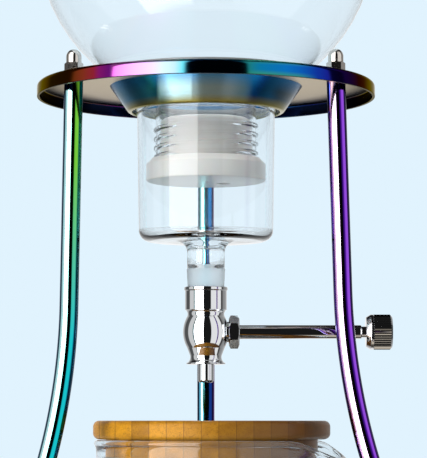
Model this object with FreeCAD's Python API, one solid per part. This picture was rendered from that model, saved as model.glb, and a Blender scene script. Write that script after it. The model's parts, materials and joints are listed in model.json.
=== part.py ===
import FreeCAD, Part

import math
import os

from FreeCAD import Vector

# Cold drip coffee tower. +Z is up, the floor is z = 0, and the origin is on the tower's axis at floor
# level. The rear leg stands at +Y, the valve's spindle points to +X. All sizes are in millimetres.

# ---------------------------------------------------------------- driving dimensions

# Stand: spun ring plate, press-fitted funnel collar and three bent rods
PLATE_TOP = 273.6
PLATE_R = 73.6
SHEET = 1.2
PLATE_BOTTOM = PLATE_TOP - SHEET
PLATE_ROUND = 2.0
PLATE_ROUND_INSIDE = 0.8
LIP_DEPTH = 6.2
LIP_ROUND = 0.3
FUNNEL_TOP_R = 41.9
FUNNEL_FOOT = (33.9, 261.4)
FUNNEL_FLANGE_R = 47.0
FUNNEL_FLANGE_THICK = 1.0
FUNNEL_FLANGE_ROUND = 0.4
FUNNEL_ROLL_START = 1.2
FUNNEL_ROLL = [(32.1, 262.3, 0.4), (32.3, 260.9, 0.5)]
FUNNEL_FOOT_ROUND = 0.9
FLANGE_TOP = PLATE_TOP + FUNNEL_FLANGE_THICK
CHAMBER_SEAT_SPAN = (2.2, 6.4)
CHAMBER_SEAT_ROUND = 0.5
GLOBE_SEAT_INNER_R = 42.4
GLOBE_SEAT_EDGE_R = 44.6
GLOBE_SEAT_TOP_R = 45.8
GLOBE_SEAT_FOOT_R = 46.3

# For each leg: its place round the ring, its lean at the top and the height where its bend starts
LEGS = {"leg_left": (208.0, 1.0, 176.0), "leg_right": (330.0, 1.8, 181.0), "leg_rear": (90.0, 1.8, 181.0)}
LEG_R = 4.0
LEG_TOP_RADIUS = 63.4
LEG_LEAN_FOOT = 19.0
LEG_BEND_R = 250.0
LEG_END = 4.5
LEG_OVERRUN = 3.0
FOOT_R_LOW = 7.4
FOOT_R_HIGH = 5.7
FOOT_HEIGHT = 15.0
FOOT_OVERRUN = 8.0
FOOT_ROUND = 0.8

STUD_R = 2.0
STUD_CLEAR = 0.05
STUD_DEPTH = 9.0
STUD_HOLE_R = 2.15
STUD_CHAMFER = 0.4
STUD_END_GAP = 0.6
NUT_FLATS = 7.0
NUT_HEX_HEIGHT = 4.8
NUT_BEVEL = 0.5
NUT_DOME_R = 3.25
NUT_HEIGHT = 10.6
NUT_BORE_DEPTH = 8.4

# Gaps between pieces of different bodies
SEAT_GAP = 0.3
FIT_GAP = 0.05

# Water globe, standing neck down, with a GL45 style screw neck
GLOBE_R = 74.0
GLOBE_Z = 338.0
GLOBE_WALL = 2.0
GLOBE_FLAT_R = 20.0
NECK_R = 21.9
NECK_BORE_R = 20.6
NECK_END = 234.2
NECK_FILLET = 4.0
NECK_FILLET_INNER = 5.6
THREAD_PITCH = 4.0
NECK_CREST_R = 22.8
NECK_THREAD = (236.2, 255.7)
THREAD_PHASE = 100.0
THREAD_SINK = 0.45
INSERT_TOP = 258.3
INSERT_STEP = 246.0
INSERT_R = 20.4
INSERT_TOP_R = 19.9
INSERT_WALL = 2.0
INSERT_FLANGE = (21.85, 1.0)
INSERT_CENTRE_HOLE_R = 3.0
INSERT_HOLE_R = 2.0
INSERT_HOLE_CIRCLE_R = 11.0
INSERT_HOLES = 6

# Screw cap
CAP_R = 26.0
CAP_BOTTOM = 230.8
CAP_TOP = 240.8
CAP_FLOOR = 1.4
CAP_BORE_R = 23.15
CAP_CREST_R = 22.3
CAP_LIP_R = 23.5
CAP_CHAMFER_HEIGHT = 2.7
CAP_GASKET_GAP = 0.02
CAP_THREAD = (235.4, 239.4)
CAP_GASKET = (18.4, 22.8, 0.65)
CAP_DRIP_HOLE_R = 0.9
CAP_AIR_HOLE = (3.0, 7.7, 8.0)

# Drip chamber
CHAMBER_R_TOP = 30.0
CHAMBER_R_LOW = 29.1
CHAMBER_WALL = 1.8
CHAMBER_FLOOR = 2.5
CHAMBER_BOTTOM = 204.7
CHAMBER_CORNER_R = 5.0
CHAMBER_BEND_R = 3.0
CHAMBER_RIM_LENGTH = 3.5
CHAMBER_RIM_ROUND = 0.8
OUTLET_FILLET = 4.5
OUTLET_R = 8.15
OUTLET_BORE_R = 6.3
JOINT_TOP = 192.7
JOINT_END = 176.0
JOINT_TOP_R = 8.3
JOINT_TAPER = 0.05
JOINT_BORE_R = 5.2
SEAT_THICK = 1.5

# Needle valve: axis of the spindle, barrel shaped body, brim and nozzle
VALVE_Z = 165.5
VALVE_R = 9.9
SOCKET_TOP = 185.0
SOCKET_R = 9.0
SOCKET_LIP_R = 9.4
SOCKET_FLOOR = 174.6
JOINT_GAP = 0.06
BRIM_R = 8.45
BRIM_Z = 152.1
BRIM_THICK = 0.5
BRIM_FOOT = BRIM_Z - 0.8
BODY_NECK_R = 6.85
BARREL_END_R = 8.1
BARREL_HALF = 6.9
NOZZLE_R = 3.4
NOZZLE_TIP = 143.6
NOZZLE_BORE_R = 1.0
NOZZLE_NOSE_ROUND = 1.4
NOZZLE_SPIGOT_R = 2.5
NOZZLE_SPIGOT_TOP = 156.0
STEM_R = 3.0
STEM_BORE_R = STEM_R + FIT_GAP
BOSS_R = 4.5
BOSS_END = 12.6
PACKING_R = 3.9
PACKING = (10.8, 12.6)
NUT_X = (9.9, 14.5)
PACKING_NUT_CORNER_R = 7.2
PACKING_NUT_BEVEL = (1.3, 0.8)
SEAT_X = (-3.0, 2.0)
SEAT_HOLE_R = 1.0
INLET_X = 4.6
INLET_R = 1.4

# Spindle and knob
NEEDLE_TIP_X = 0.2
NEEDLE_SHANK = (3.5, 1.4)
STEM_START_X = 6.6
STEM_END_X = 67.3
O_RING_X = 8.0
O_RING_R = (2.5, 0.45)
GROOVE_R = 2.0
GROOVE_WIDTH = 1.1
KNOB_NECK_R = 2.4
SHANK_R = 2.0
SHANK_END_X = 78.5
KNOB_X = (69.2, 80.5)
KNOB_KNURL_X = 72.6
KNOB_R = 7.6
KNURL_TEETH = 44
KNURL_DEPTH = 0.35
SET_SCREW_R = 1.5
SET_SCREW_LENGTH = 4.0
SET_SCREW_POINT = 0.7
SET_SCREW_SOCKET_R = 0.85
SET_SCREW_SOCKET_FLOOR = 2.2

# Carafe, lid and filter cup share an axis that is a little to the right of the tower's axis
CARAFE_X = 2.5
CARAFE_R = 49.8
CARAFE_WALL = 1.7
CARAFE_FLOOR = 2.2
CARAFE_CORNER_R = 12.0
CARAFE_RIM = 119.0
CARAFE_BEAD_R = 1.4
CARAFE_BEAD_INSET = 0.25
CARAFE_BASE_R = 36.0
CARAFE_BASE_STEP = 0.15
CARAFE_FLOOR_RING_R = 30.0
SPOUT_ANGLE = -14.9
SPOUT_ROOT = 88.0
SPOUT_REACH = 9.3
SPOUT_POWER = 2.2
SPOUT_HALF_WIDTH = 37.7
SPOUT_MARGIN = 5.0
SPOUT_SECTIONS = 12
SPOUT_DIP_START = 43.9
SPOUT_DIP_SLOPE = 0.56
SPOUT_DIP_SOFTNESS = 2.9
LID_TOP = 127.3
LID_BOTTOM = 119.3
LID_R = 51.1
LID_EDGE_R = 2.6
PLUG_R = 45.7
PLUG_BOTTOM = 104.6
LID_HOLE_R = 30.2
LID_RECESS = (34.0, 1.8)
SEAL_GROOVE = (44.2, 107.6, 111.8)
SEAL_R = 47.5
SEAL_ROOT_R = 46.0
CUP_R = 29.9
CUP_WALL = 0.5
CUP_RIM_R = 33.7
CUP_RIM_THICK = 1.0
CUP_BOTTOM = 75.0
CUP_FOOT = (2.5, 0.5)
SCREEN_THICK = 0.5
SCREEN_GAP = 0.05
SCREEN_MARGIN = 4.0
SCREEN_HOLE_R = 0.9
SCREEN_PITCH = 4.6

AXIS_X = Vector(1, 0, 0)
AXIS_Y = Vector(0, 1, 0)
AXIS_Z = Vector(0, 0, 1)
EXPORTED = []


# ---------------------------------------------------------------- helpers

def polar(radius, angle, z=0.0):
    """Point at a radius and an angle in degrees round the tower's axis."""
    turn = math.radians(angle)
    return Vector(radius * math.cos(turn), radius * math.sin(turn), z)


def corner_arc(before, corner, after, radius):
    """Start, middle and end points of the round of a given radius at a corner of an outline."""
    to_before = (before - corner).normalize()
    to_after = (after - corner).normalize()
    half = to_before.getAngle(to_after) / 2
    reach = radius / math.tan(half)
    start = corner + to_before * reach
    end = corner + to_after * reach
    bisector = (to_before + to_after).normalize()
    middle = corner + bisector * (radius / math.sin(half) - radius)
    return start, middle, end


def outline(points):
    """Closed face in the XZ plane.

    A point is (r, z), (r, z, round) for a rounded corner, or (r, z, "via") for the middle point of
    an arc from the point before it to the point after it.
    """
    places = [Vector(p[0], 0, p[1]) for p in points]
    kinds = [p[2] if len(p) > 2 else 0 for p in points]
    count = len(points)
    steps = []
    for i, (place, kind) in enumerate(zip(places, kinds)):
        if kind == "via":
            steps.append(("via", place))
        elif kind:
            start, middle, end = corner_arc(places[i - 1], place, places[(i + 1) % count], kind)
            steps += [("at", start), ("via", middle), ("at", end)]
        else:
            steps.append(("at", place))
    edges = []
    for i, (kind, place) in enumerate(steps):
        if kind == "via":
            edges.append(Part.Arc(steps[i - 1][1], place, steps[(i + 1) % len(steps)][1]).toShape())
        elif steps[i - 1][0] == "at" and steps[i - 1][1].distanceToPoint(place) > 1e-6:
            edges.append(Part.makeLine(steps[i - 1][1], place))
    return Part.Face(Part.Wire(Part.__sortEdges__(edges)))


def spin(points):
    """Solid of revolution about the Z axis from an outline of (r, z) points."""
    return outline(points).revolve(Vector(0, 0, 0), AXIS_Z, 360)


def spin_x(points):
    """Solid of revolution about the spindle's axis from an outline of (r, x) points."""
    solid = spin(points)
    solid.rotate(Vector(0, 0, 0), AXIS_Y, 90)
    solid.translate(Vector(0, 0, VALVE_Z))
    return solid


def tube(outer, inner, low, high):
    """Ring of rectangular section about the Z axis."""
    return spin([(inner, low), (outer, low), (outer, high), (inner, high)])


def drill_z(radius, low, high, x=0.0, y=0.0):
    """Cylinder along Z."""
    return Part.makeCylinder(radius, high - low, Vector(x, y, low), AXIS_Z)


def drill_x(radius, low, high):
    """Cylinder on the spindle's axis."""
    return Part.makeCylinder(radius, high - low, Vector(low, 0, VALVE_Z), AXIS_X)


def hex_prism(corner_radius, height, first_angle=0.0):
    """Hexagonal prism on the XY plane."""
    corners = [polar(corner_radius, first_angle + 60 * i) for i in range(7)]
    return Part.Face(Part.makePolygon(corners)).extrude(Vector(0, 0, height))


def thread_ridge(root_r, crest_r, root_half, crest_half, low, high, phase):
    """Helical ridge of a screw thread, its foot sunk into the wall that it stands on."""
    helix = Part.makeHelix(THREAD_PITCH, high - low, root_r)
    section = Part.makePolygon([
        Vector(root_r, 0, -root_half), Vector(crest_r, 0, -crest_half),
        Vector(crest_r, 0, crest_half), Vector(root_r, 0, root_half), Vector(root_r, 0, -root_half)])
    ridge = Part.Wire(helix).makePipeShell([Part.Wire(section)], True, True)
    ridge.rotate(Vector(0, 0, 0), AXIS_Z, phase)
    ridge.translate(Vector(0, 0, low))
    return ridge


def save(name, shape):
    """Write one node as a STEP file."""
    shape.exportStep(os.path.join("parts", name + ".step"))
    EXPORTED.append((name, len(shape.Solids), shape.isValid()))


def on_leg(angle):
    """The pieces of one leg are made in the XZ plane and turned to the leg's place."""
    return lambda shape: shape.rotated(Vector(0, 0, 0), AXIS_Z, angle)


# ---------------------------------------------------------------- stand

def make_support_ring():
    """Flat ring with a turned down lip and three holes for the leg studs."""
    lip = PLATE_TOP - LIP_DEPTH
    ring = spin([
        (FUNNEL_TOP_R, PLATE_BOTTOM), (FUNNEL_TOP_R, PLATE_TOP), (PLATE_R, PLATE_TOP, PLATE_ROUND),
        (PLATE_R, lip, LIP_ROUND), (PLATE_R - SHEET, lip, LIP_ROUND),
        (PLATE_R - SHEET, PLATE_BOTTOM, PLATE_ROUND_INSIDE)])
    for angle, _, _ in LEGS.values():
        hole = polar(LEG_TOP_RADIUS, angle)
        ring = ring.cut(drill_z(STUD_HOLE_R, PLATE_BOTTOM - 1, PLATE_TOP + 1, hole.x, hole.y))
    return ring


def funnel_slope():
    """Unit vector up the funnel's wall, and the unit normal that points into the funnel."""
    foot = Vector(FUNNEL_FOOT[0], 0, FUNNEL_FOOT[1])
    along = (Vector(FUNNEL_TOP_R, 0, PLATE_BOTTOM) - foot).normalize()
    return foot, along, Vector(-along.z, 0, along.x)


def funnel_point(up, inward):
    """Point (r, z) a distance up the funnel's outer wall and a distance inward from it."""
    foot, along, normal = funnel_slope()
    place = foot + along * up + normal * inward
    return place.x, place.z


def make_funnel_collar():
    """Cone that hangs in the ring, with a flange over the plate and a rolled-in lower edge."""
    foot, along, normal = funnel_slope()
    mouth = (FLANGE_TOP - foot.z - normal.z * SHEET) / along.z
    return spin([
        (FUNNEL_FLANGE_R, PLATE_TOP), (FUNNEL_FLANGE_R, FLANGE_TOP, FUNNEL_FLANGE_ROUND),
        funnel_point(mouth, SHEET), funnel_point(FUNNEL_ROLL_START, SHEET), *FUNNEL_ROLL,
        FUNNEL_FOOT + (FUNNEL_FOOT_ROUND,), (FUNNEL_TOP_R, PLATE_BOTTOM), (FUNNEL_TOP_R, PLATE_TOP)])


def make_chamber_seat_ring():
    """Silicone band on the funnel's inner wall that the drip chamber's rim rests on."""
    low, high = CHAMBER_SEAT_SPAN
    face = SHEET + SEAT_THICK
    return spin([
        funnel_point(low, SHEET), funnel_point(high, SHEET),
        funnel_point(high, face) + (CHAMBER_SEAT_ROUND,), funnel_point(low, face) + (CHAMBER_SEAT_ROUND,)])


def make_globe_seat_ring():
    """Silicone wedge on the funnel's flange, hollowed to the globe's curve."""
    cradle_r = GLOBE_R + SEAT_GAP

    def cradle(r):
        return GLOBE_Z - math.sqrt(cradle_r ** 2 - r ** 2)

    inner, edge = GLOBE_SEAT_INNER_R, GLOBE_SEAT_EDGE_R
    middle = (inner + edge) / 2
    return spin([
        (inner, FLANGE_TOP), (inner, cradle(inner)), (middle, cradle(middle), "via"),
        (edge, cradle(edge)), (GLOBE_SEAT_TOP_R, cradle(edge), 0.4), (GLOBE_SEAT_FOOT_R, FLANGE_TOP)])


def leg_way(angle):
    """Unit vector down a leg where it leans outwards by an angle in degrees."""
    lean = math.radians(angle)
    return Vector(math.sin(lean), 0, -math.cos(lean))


def leg_points(lean_top, bend_z):
    """Centre line of a leg in its own radial plane: top, start, middle and end of its bend, foot."""
    upper, lower = leg_way(lean_top), leg_way(LEG_LEAN_FOOT)
    middle = leg_way((lean_top + LEG_LEAN_FOOT) / 2)
    drop = PLATE_BOTTOM - bend_z
    bend_start = Vector(LEG_TOP_RADIUS - upper.x / upper.z * drop, 0, bend_z)
    bend_centre = bend_start + Vector(-upper.z, 0, upper.x) * LEG_BEND_R
    bend_middle = bend_centre - Vector(-middle.z, 0, middle.x) * LEG_BEND_R
    bend_end = bend_centre - Vector(-lower.z, 0, lower.x) * LEG_BEND_R
    top = bend_start - upper * ((drop + LEG_OVERRUN) / -upper.z)
    foot = bend_end + lower * ((bend_end.z - LEG_END) / -lower.z)
    return top, bend_start, bend_middle, bend_end, foot


def make_leg(lean_top, bend_z):
    """Bent rod with a flat top and a tapped hole for its stud."""
    top, bend_start, bend_middle, bend_end, foot = leg_points(lean_top, bend_z)
    bend = Part.Arc(bend_start, bend_middle, bend_end).toShape()
    wire = Part.Wire([Part.makeLine(top, bend_start), bend, Part.makeLine(bend_end, foot)])
    section = Part.Wire(Part.makeCircle(LEG_R, top, leg_way(lean_top)))
    leg = wire.makePipeShell([section], True, False)
    above = drill_z(3 * LEG_R, PLATE_BOTTOM, PLATE_BOTTOM + 2 * LEG_OVERRUN, LEG_TOP_RADIUS)
    hole = drill_z(STUD_R + STUD_CLEAR, PLATE_BOTTOM - STUD_DEPTH - 1, PLATE_BOTTOM + 1, LEG_TOP_RADIUS)
    return leg.cut(above).cut(hole)


def make_foot(leg, foot):
    """Rubber cap on the end of a leg, ground flat on the floor."""
    way = leg_way(LEG_LEAN_FOOT)
    length = FOOT_HEIGHT / -way.z + FOOT_OVERRUN
    cap = Part.makeCone(FOOT_R_LOW, FOOT_R_HIGH, length, foot + way * FOOT_OVERRUN, way * -1)
    cap = cap.cut(drill_z(10 * FOOT_R_LOW, -10 * FOOT_R_LOW, 0, foot.x))
    rims = [edge for edge in cap.Edges if edge.BoundBox.ZMax < 0.01 or edge.BoundBox.ZMin > LEG_END]
    return cap.makeFillet(FOOT_ROUND, rims).cut(leg)


def make_stud():
    """Threaded stud between a leg and its nut."""
    top = PLATE_TOP + NUT_BORE_DEPTH - STUD_END_GAP
    stud = drill_z(STUD_R, PLATE_BOTTOM - STUD_DEPTH, top, LEG_TOP_RADIUS)
    return stud.makeChamfer(STUD_CHAMFER, stud.Edges)


def make_acorn_nut():
    """Domed cap nut."""
    corner_r = NUT_FLATS / math.sqrt(3)
    face_r, edge_r = NUT_FLATS / 2 - 0.1, corner_r + 0.1
    bevel = spin([
        (0, 0), (face_r, 0), (edge_r, NUT_BEVEL), (edge_r, NUT_HEX_HEIGHT - NUT_BEVEL),
        (face_r, NUT_HEX_HEIGHT), (0, NUT_HEX_HEIGHT)])
    shoulder = NUT_HEIGHT - NUT_DOME_R
    lean = NUT_DOME_R * math.sqrt(0.5)
    dome = spin([
        (0, 1), (NUT_DOME_R, 1), (NUT_DOME_R, shoulder),
        (lean, shoulder + lean, "via"), (0, NUT_HEIGHT)])
    nut = hex_prism(corner_r, NUT_HEX_HEIGHT, 30).common(bevel).fuse(dome)
    nut = nut.cut(drill_z(STUD_R + STUD_CLEAR, -1, NUT_BORE_DEPTH))
    nut.translate(Vector(LEG_TOP_RADIUS, 0, PLATE_TOP))
    return nut


def make_stand():
    """Ring, collar, seats and the pieces of the three legs."""
    save("support_ring", make_support_ring())
    save("funnel_collar", make_funnel_collar())
    save("chamber_seat_ring", make_chamber_seat_ring())
    save("globe_seat_ring", make_globe_seat_ring())
    feet = []
    for name, (angle, lean_top, bend_z) in LEGS.items():
        leg = make_leg(lean_top, bend_z)
        foot = make_foot(leg, leg_points(lean_top, bend_z)[-1])
        save(name, on_leg(angle)(leg))
        feet.append(on_leg(angle)(foot))
    save("rubber_feet", Part.makeCompound(feet))
    for name, piece in (("leg_studs", make_stud()), ("acorn_nuts", make_acorn_nut())):
        save(name, Part.makeCompound([on_leg(angle)(piece) for angle, _, _ in LEGS.values()]))


# ---------------------------------------------------------------- water globe

def neck_blend(sphere_r, neck_r, fillet):
    """Points on the round between a sphere and the neck below it: on neck, middle, on sphere."""
    drop = math.sqrt((sphere_r + fillet) ** 2 - (neck_r + fillet) ** 2)
    centre = Vector(neck_r + fillet, 0, GLOBE_Z - drop)
    globe = Vector(0, 0, GLOBE_Z)
    on_sphere = globe + (centre - globe).normalize() * sphere_r
    on_neck = Vector(neck_r, 0, centre.z)
    middle = centre + ((on_sphere - centre) + (on_neck - centre)).normalize() * fillet
    return [(p.x, p.z) for p in (on_neck, middle, on_sphere)]


def make_globe_glass():
    """Glass globe with a small flat on top and a threaded neck below."""
    neck, bend, wall = neck_blend(GLOBE_R, NECK_R, NECK_FILLET)
    inner_r = GLOBE_R - GLOBE_WALL
    neck_in, bend_in, wall_in = neck_blend(inner_r, NECK_BORE_R, NECK_FILLET_INNER)
    top = GLOBE_Z + math.sqrt(GLOBE_R ** 2 - GLOBE_FLAT_R ** 2)
    top_in_r = math.sqrt(inner_r ** 2 - (top - GLOBE_WALL - GLOBE_Z) ** 2)
    glass = spin([
        (NECK_BORE_R, NECK_END, 0.5), (NECK_R, NECK_END, 0.5), neck, bend + ("via",), wall,
        (GLOBE_R, GLOBE_Z, "via"), (GLOBE_FLAT_R, top), (0, top), (0, top - GLOBE_WALL),
        (top_in_r, top - GLOBE_WALL), (inner_r, GLOBE_Z, "via"), wall_in, bend_in + ("via",), neck_in])
    ridge = thread_ridge(NECK_R - THREAD_SINK, NECK_CREST_R, 1.3, 0.45, *NECK_THREAD, THREAD_PHASE)
    return glass.fuse(ridge).removeSplitter()


def make_neck_insert():
    """White strainer cup pushed into the neck, with a flange on the neck's end."""
    flange_r, flange_thick = INSERT_FLANGE
    low = NECK_END - flange_thick
    insert = spin([
        (0, INSERT_TOP), (INSERT_TOP_R, INSERT_TOP, 3.0), (INSERT_TOP_R, INSERT_STEP),
        (INSERT_R, INSERT_STEP, 0.2), (INSERT_R, NECK_END), (flange_r, NECK_END, 0.3), (flange_r, low, 0.3),
        (INSERT_R - INSERT_WALL, low), (INSERT_R - INSERT_WALL, INSERT_TOP - INSERT_WALL, 1.5),
        (0, INSERT_TOP - INSERT_WALL)])
    holes = [(INSERT_CENTRE_HOLE_R, Vector(0, 0, 0))]
    for i in range(INSERT_HOLES):
        holes.append((INSERT_HOLE_R, polar(INSERT_HOLE_CIRCLE_R, 360 / INSERT_HOLES * i)))
    for radius, place in holes:
        low = INSERT_TOP - INSERT_WALL - 1
        insert = insert.cut(drill_z(radius, low, INSERT_TOP + 1, place.x, place.y))
    return insert


def make_cap_gasket():
    """Silicone washer on the cap's floor."""
    inner, outer, thick = CAP_GASKET
    low = CAP_BOTTOM + CAP_FLOOR + CAP_GASKET_GAP
    return tube(outer, inner, low, low + thick)


def make_screw_cap():
    """White screw cap with a drip hole and an air hole in its floor."""
    floor = CAP_BOTTOM + CAP_FLOOR
    cap = spin([
        (0, CAP_BOTTOM), (CAP_R, CAP_BOTTOM, 0.8), (CAP_R, CAP_TOP - CAP_CHAMFER_HEIGHT, 0.4),
        (CAP_LIP_R, CAP_TOP, 0.1), (CAP_BORE_R, CAP_TOP), (CAP_BORE_R, floor), (0, floor)])
    turns = (CAP_THREAD[0] - NECK_THREAD[0] + THREAD_PITCH / 2) / THREAD_PITCH
    ridge = thread_ridge(
        CAP_BORE_R + THREAD_SINK, CAP_CREST_R, 1.1, 0.45, *CAP_THREAD, THREAD_PHASE + 360 * turns)
    cap = cap.fuse(ridge).removeSplitter()
    air_r, air_x, air_y = CAP_AIR_HOLE
    for radius, x, y in ((CAP_DRIP_HOLE_R, 0, 0), (air_r, air_x, air_y)):
        cap = cap.cut(drill_z(radius, CAP_BOTTOM - 1, floor + 1, x, y))
    return cap


def make_water_globe():
    """Globe, strainer insert, gasket and cap."""
    save("globe_glass", make_globe_glass())
    save("neck_insert", make_neck_insert())
    save("cap_gasket", make_cap_gasket())
    save("screw_cap", make_screw_cap())


# ---------------------------------------------------------------- drip chamber

def joint_r(z):
    """Radius of the ground joint at a height."""
    return JOINT_TOP_R - JOINT_TAPER * (JOINT_TOP - z)


def make_drip_chamber():
    """Glass chamber with a flared rim, an outlet tube and a ground joint."""
    rest = SHEET + SEAT_THICK + SEAT_GAP
    foot, along, normal = funnel_slope()
    start = foot + normal * rest
    bend = (CHAMBER_R_TOP - start.x) / along.x
    bend_in = (CHAMBER_R_TOP - CHAMBER_WALL - (start + normal * CHAMBER_WALL).x) / along.x
    rim = bend + CHAMBER_BEND_R + CHAMBER_RIM_LENGTH
    floor = CHAMBER_BOTTOM + CHAMBER_FLOOR
    inner_low = CHAMBER_R_LOW - CHAMBER_WALL
    return spin([
        funnel_point(bend, rest) + (CHAMBER_BEND_R,), funnel_point(rim, rest) + (CHAMBER_RIM_ROUND,),
        funnel_point(rim, rest + CHAMBER_WALL) + (CHAMBER_RIM_ROUND,),
        funnel_point(bend_in, rest + CHAMBER_WALL) + (CHAMBER_BEND_R - 1,),
        (inner_low, floor, CHAMBER_CORNER_R - CHAMBER_WALL), (OUTLET_BORE_R, floor, 2.5),
        (OUTLET_BORE_R, JOINT_TOP + 1.5, 1.0), (JOINT_BORE_R, JOINT_TOP, 1.0), (JOINT_BORE_R, JOINT_END, 0.5),
        (joint_r(JOINT_END), JOINT_END, 0.5), (JOINT_TOP_R, JOINT_TOP), (OUTLET_R, JOINT_TOP + 0.3),
        (OUTLET_R, CHAMBER_BOTTOM, OUTLET_FILLET), (CHAMBER_R_LOW, CHAMBER_BOTTOM, CHAMBER_CORNER_R)])


# ---------------------------------------------------------------- needle valve

def make_valve_body():
    """Barrel shaped body with the joint's socket above, a brim below and a boss for the spindle."""
    body = spin([
        (0, BRIM_FOOT), (BRIM_R - 1.5, BRIM_FOOT + 0.1), (BRIM_R, BRIM_Z - BRIM_THICK, 0.2),
        (BRIM_R, BRIM_Z, 0.2), (BODY_NECK_R + 0.25, BRIM_Z + 1.3, "via"), (BODY_NECK_R, BRIM_Z + 3.2),
        (BARREL_END_R, VALVE_Z - BARREL_HALF), (VALVE_R, VALVE_Z, "via"),
        (BARREL_END_R, VALVE_Z + BARREL_HALF), (7.95, VALVE_Z + 8.1, "via"),
        (SOCKET_R, VALVE_Z + 9.6), (SOCKET_R, SOCKET_TOP - 1.8),
        (SOCKET_LIP_R, SOCKET_TOP - 1.3, 0.2), (SOCKET_LIP_R, SOCKET_TOP, 0.4),
        (joint_r(SOCKET_TOP) + JOINT_GAP, SOCKET_TOP), (joint_r(SOCKET_FLOOR) + JOINT_GAP, SOCKET_FLOOR),
        (0, SOCKET_FLOOR)])
    body = body.fuse(drill_x(BOSS_R, 0, BOSS_END)).removeSplitter()
    drillings = [
        drill_x(STEM_R, SEAT_X[0], SEAT_X[1]), drill_x(STEM_BORE_R, SEAT_X[1], BOSS_END + 1),
        drill_x(PACKING_R, PACKING[0], BOSS_END + 1),
        drill_z(INLET_R, VALVE_Z, SOCKET_FLOOR + 1, INLET_X),
        drill_z(NOZZLE_BORE_R, BRIM_FOOT - 1, VALVE_Z),
        drill_z(NOZZLE_SPIGOT_R, BRIM_FOOT - 1, NOZZLE_SPIGOT_TOP)]
    for drilling in drillings:
        body = body.cut(drilling)
    return body


def make_socket_washer():
    """Silicone washer on the socket's floor, under the end of the ground joint."""
    return tube(joint_r(JOINT_END) - 0.2, JOINT_BORE_R, SOCKET_FLOOR, JOINT_END - SEAT_GAP)


def make_needle_seat():
    """PTFE bush that the needle closes, drilled towards the nozzle."""
    seat = drill_x(STEM_R, *SEAT_X).cut(drill_x(SEAT_HOLE_R, -SEAT_HOLE_R, SEAT_X[1] + 1))
    return seat.cut(drill_z(NOZZLE_BORE_R, VALVE_Z - STEM_R - 1, VALVE_Z))


def make_drip_nozzle():
    """Nozzle with a round nosed tip, screwed into the body from below."""
    return spin([
        (NOZZLE_BORE_R, NOZZLE_TIP, 0.2), (NOZZLE_R, NOZZLE_TIP, NOZZLE_NOSE_ROUND), (NOZZLE_R, BRIM_FOOT),
        (NOZZLE_SPIGOT_R, BRIM_FOOT), (NOZZLE_SPIGOT_R, NOZZLE_SPIGOT_TOP),
        (NOZZLE_BORE_R, NOZZLE_SPIGOT_TOP)])


def make_packing_nut():
    """Hexagonal gland nut on the body's boss."""
    low, high = NUT_X
    height = high - low
    corner = PACKING_NUT_CORNER_R
    across, along = PACKING_NUT_BEVEL
    nut = hex_prism(corner, height).common(spin([
        (0, 0), (corner - across, 0), (corner, along), (corner, height - along), (corner - across, height),
        (0, height)]))
    nut.rotate(Vector(0, 0, 0), AXIS_Y, 90)
    nut.translate(Vector(low, 0, VALVE_Z))
    return nut.cut(drill_x(BOSS_R, low - 1, BOSS_END + 0.1)).cut(drill_x(STEM_BORE_R, low, high + 1))


def make_packing_ring():
    """PTFE gland packing round the spindle, under the packing nut."""
    low, high = PACKING
    return spin_x([(STEM_BORE_R, low), (PACKING_R, low), (PACKING_R, high), (STEM_BORE_R, high)])


def make_spindle():
    """Needle, threaded stem and long rod in one piece, necked down for the knob."""
    shank_x, shank_r = NEEDLE_SHANK
    groove = (O_RING_X - GROOVE_WIDTH / 2, O_RING_X + GROOVE_WIDTH / 2)
    return spin_x([
        (0, NEEDLE_TIP_X), (0.3, NEEDLE_TIP_X), (shank_r, shank_x), (shank_r, STEM_START_X),
        (STEM_R, STEM_START_X, 0.2), (STEM_R, groove[0]), (GROOVE_R, groove[0]), (GROOVE_R, groove[1]),
        (STEM_R, groove[1]), (STEM_R, STEM_END_X, 0.5), (KNOB_NECK_R, STEM_END_X, 0.3),
        (KNOB_NECK_R, KNOB_X[0]), (SHANK_R, KNOB_X[0]), (SHANK_R, SHANK_END_X), (0, SHANK_END_X)])


def make_stem_o_ring():
    """O-ring in the spindle's groove."""
    return Part.makeTorus(O_RING_R[0], O_RING_R[1], Vector(O_RING_X, 0, VALVE_Z), AXIS_X)


def set_screw_place():
    """Point on the spindle's shank under the set screw, and the screw's direction."""
    return Vector((KNOB_KNURL_X + KNOB_X[1]) / 2, 0, VALVE_Z), AXIS_Y


def make_knob():
    """Knob with a polished shoulder, a straight knurl and a tapped hole for its set screw."""
    low, high = KNOB_X
    shoulder = spin_x([
        (SHANK_R, low), (KNOB_R - 1.2, low, 0.3), (KNOB_R, KNOB_KNURL_X - 1.4, 0.6),
        (KNOB_R, KNOB_KNURL_X - 0.3), (KNOB_R - 0.5, KNOB_KNURL_X), (SHANK_R, KNOB_KNURL_X)])
    grip = spin_x([
        (0, KNOB_KNURL_X), (KNOB_R, KNOB_KNURL_X), (KNOB_R, high - 0.9), (KNOB_R - 0.9, high), (0, high)])
    rim = [polar(KNOB_R - KNURL_DEPTH * (i % 2), 180 * i / KNURL_TEETH) for i in range(2 * KNURL_TEETH)]
    star = Part.Face(Part.makePolygon(rim + rim[:1])).extrude(Vector(0, 0, high - KNOB_KNURL_X))
    star.rotate(Vector(0, 0, 0), AXIS_Y, 90)
    star.translate(Vector(KNOB_KNURL_X, 0, VALVE_Z))
    blind = drill_x(SHANK_R, low - 1, SHANK_END_X)
    screw_foot, way = set_screw_place()
    tapping = Part.makeCylinder(SET_SCREW_R, KNOB_R + 1, screw_foot, way)
    return grip.common(star).fuse(shoulder).removeSplitter().cut(blind).cut(tapping)


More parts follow.
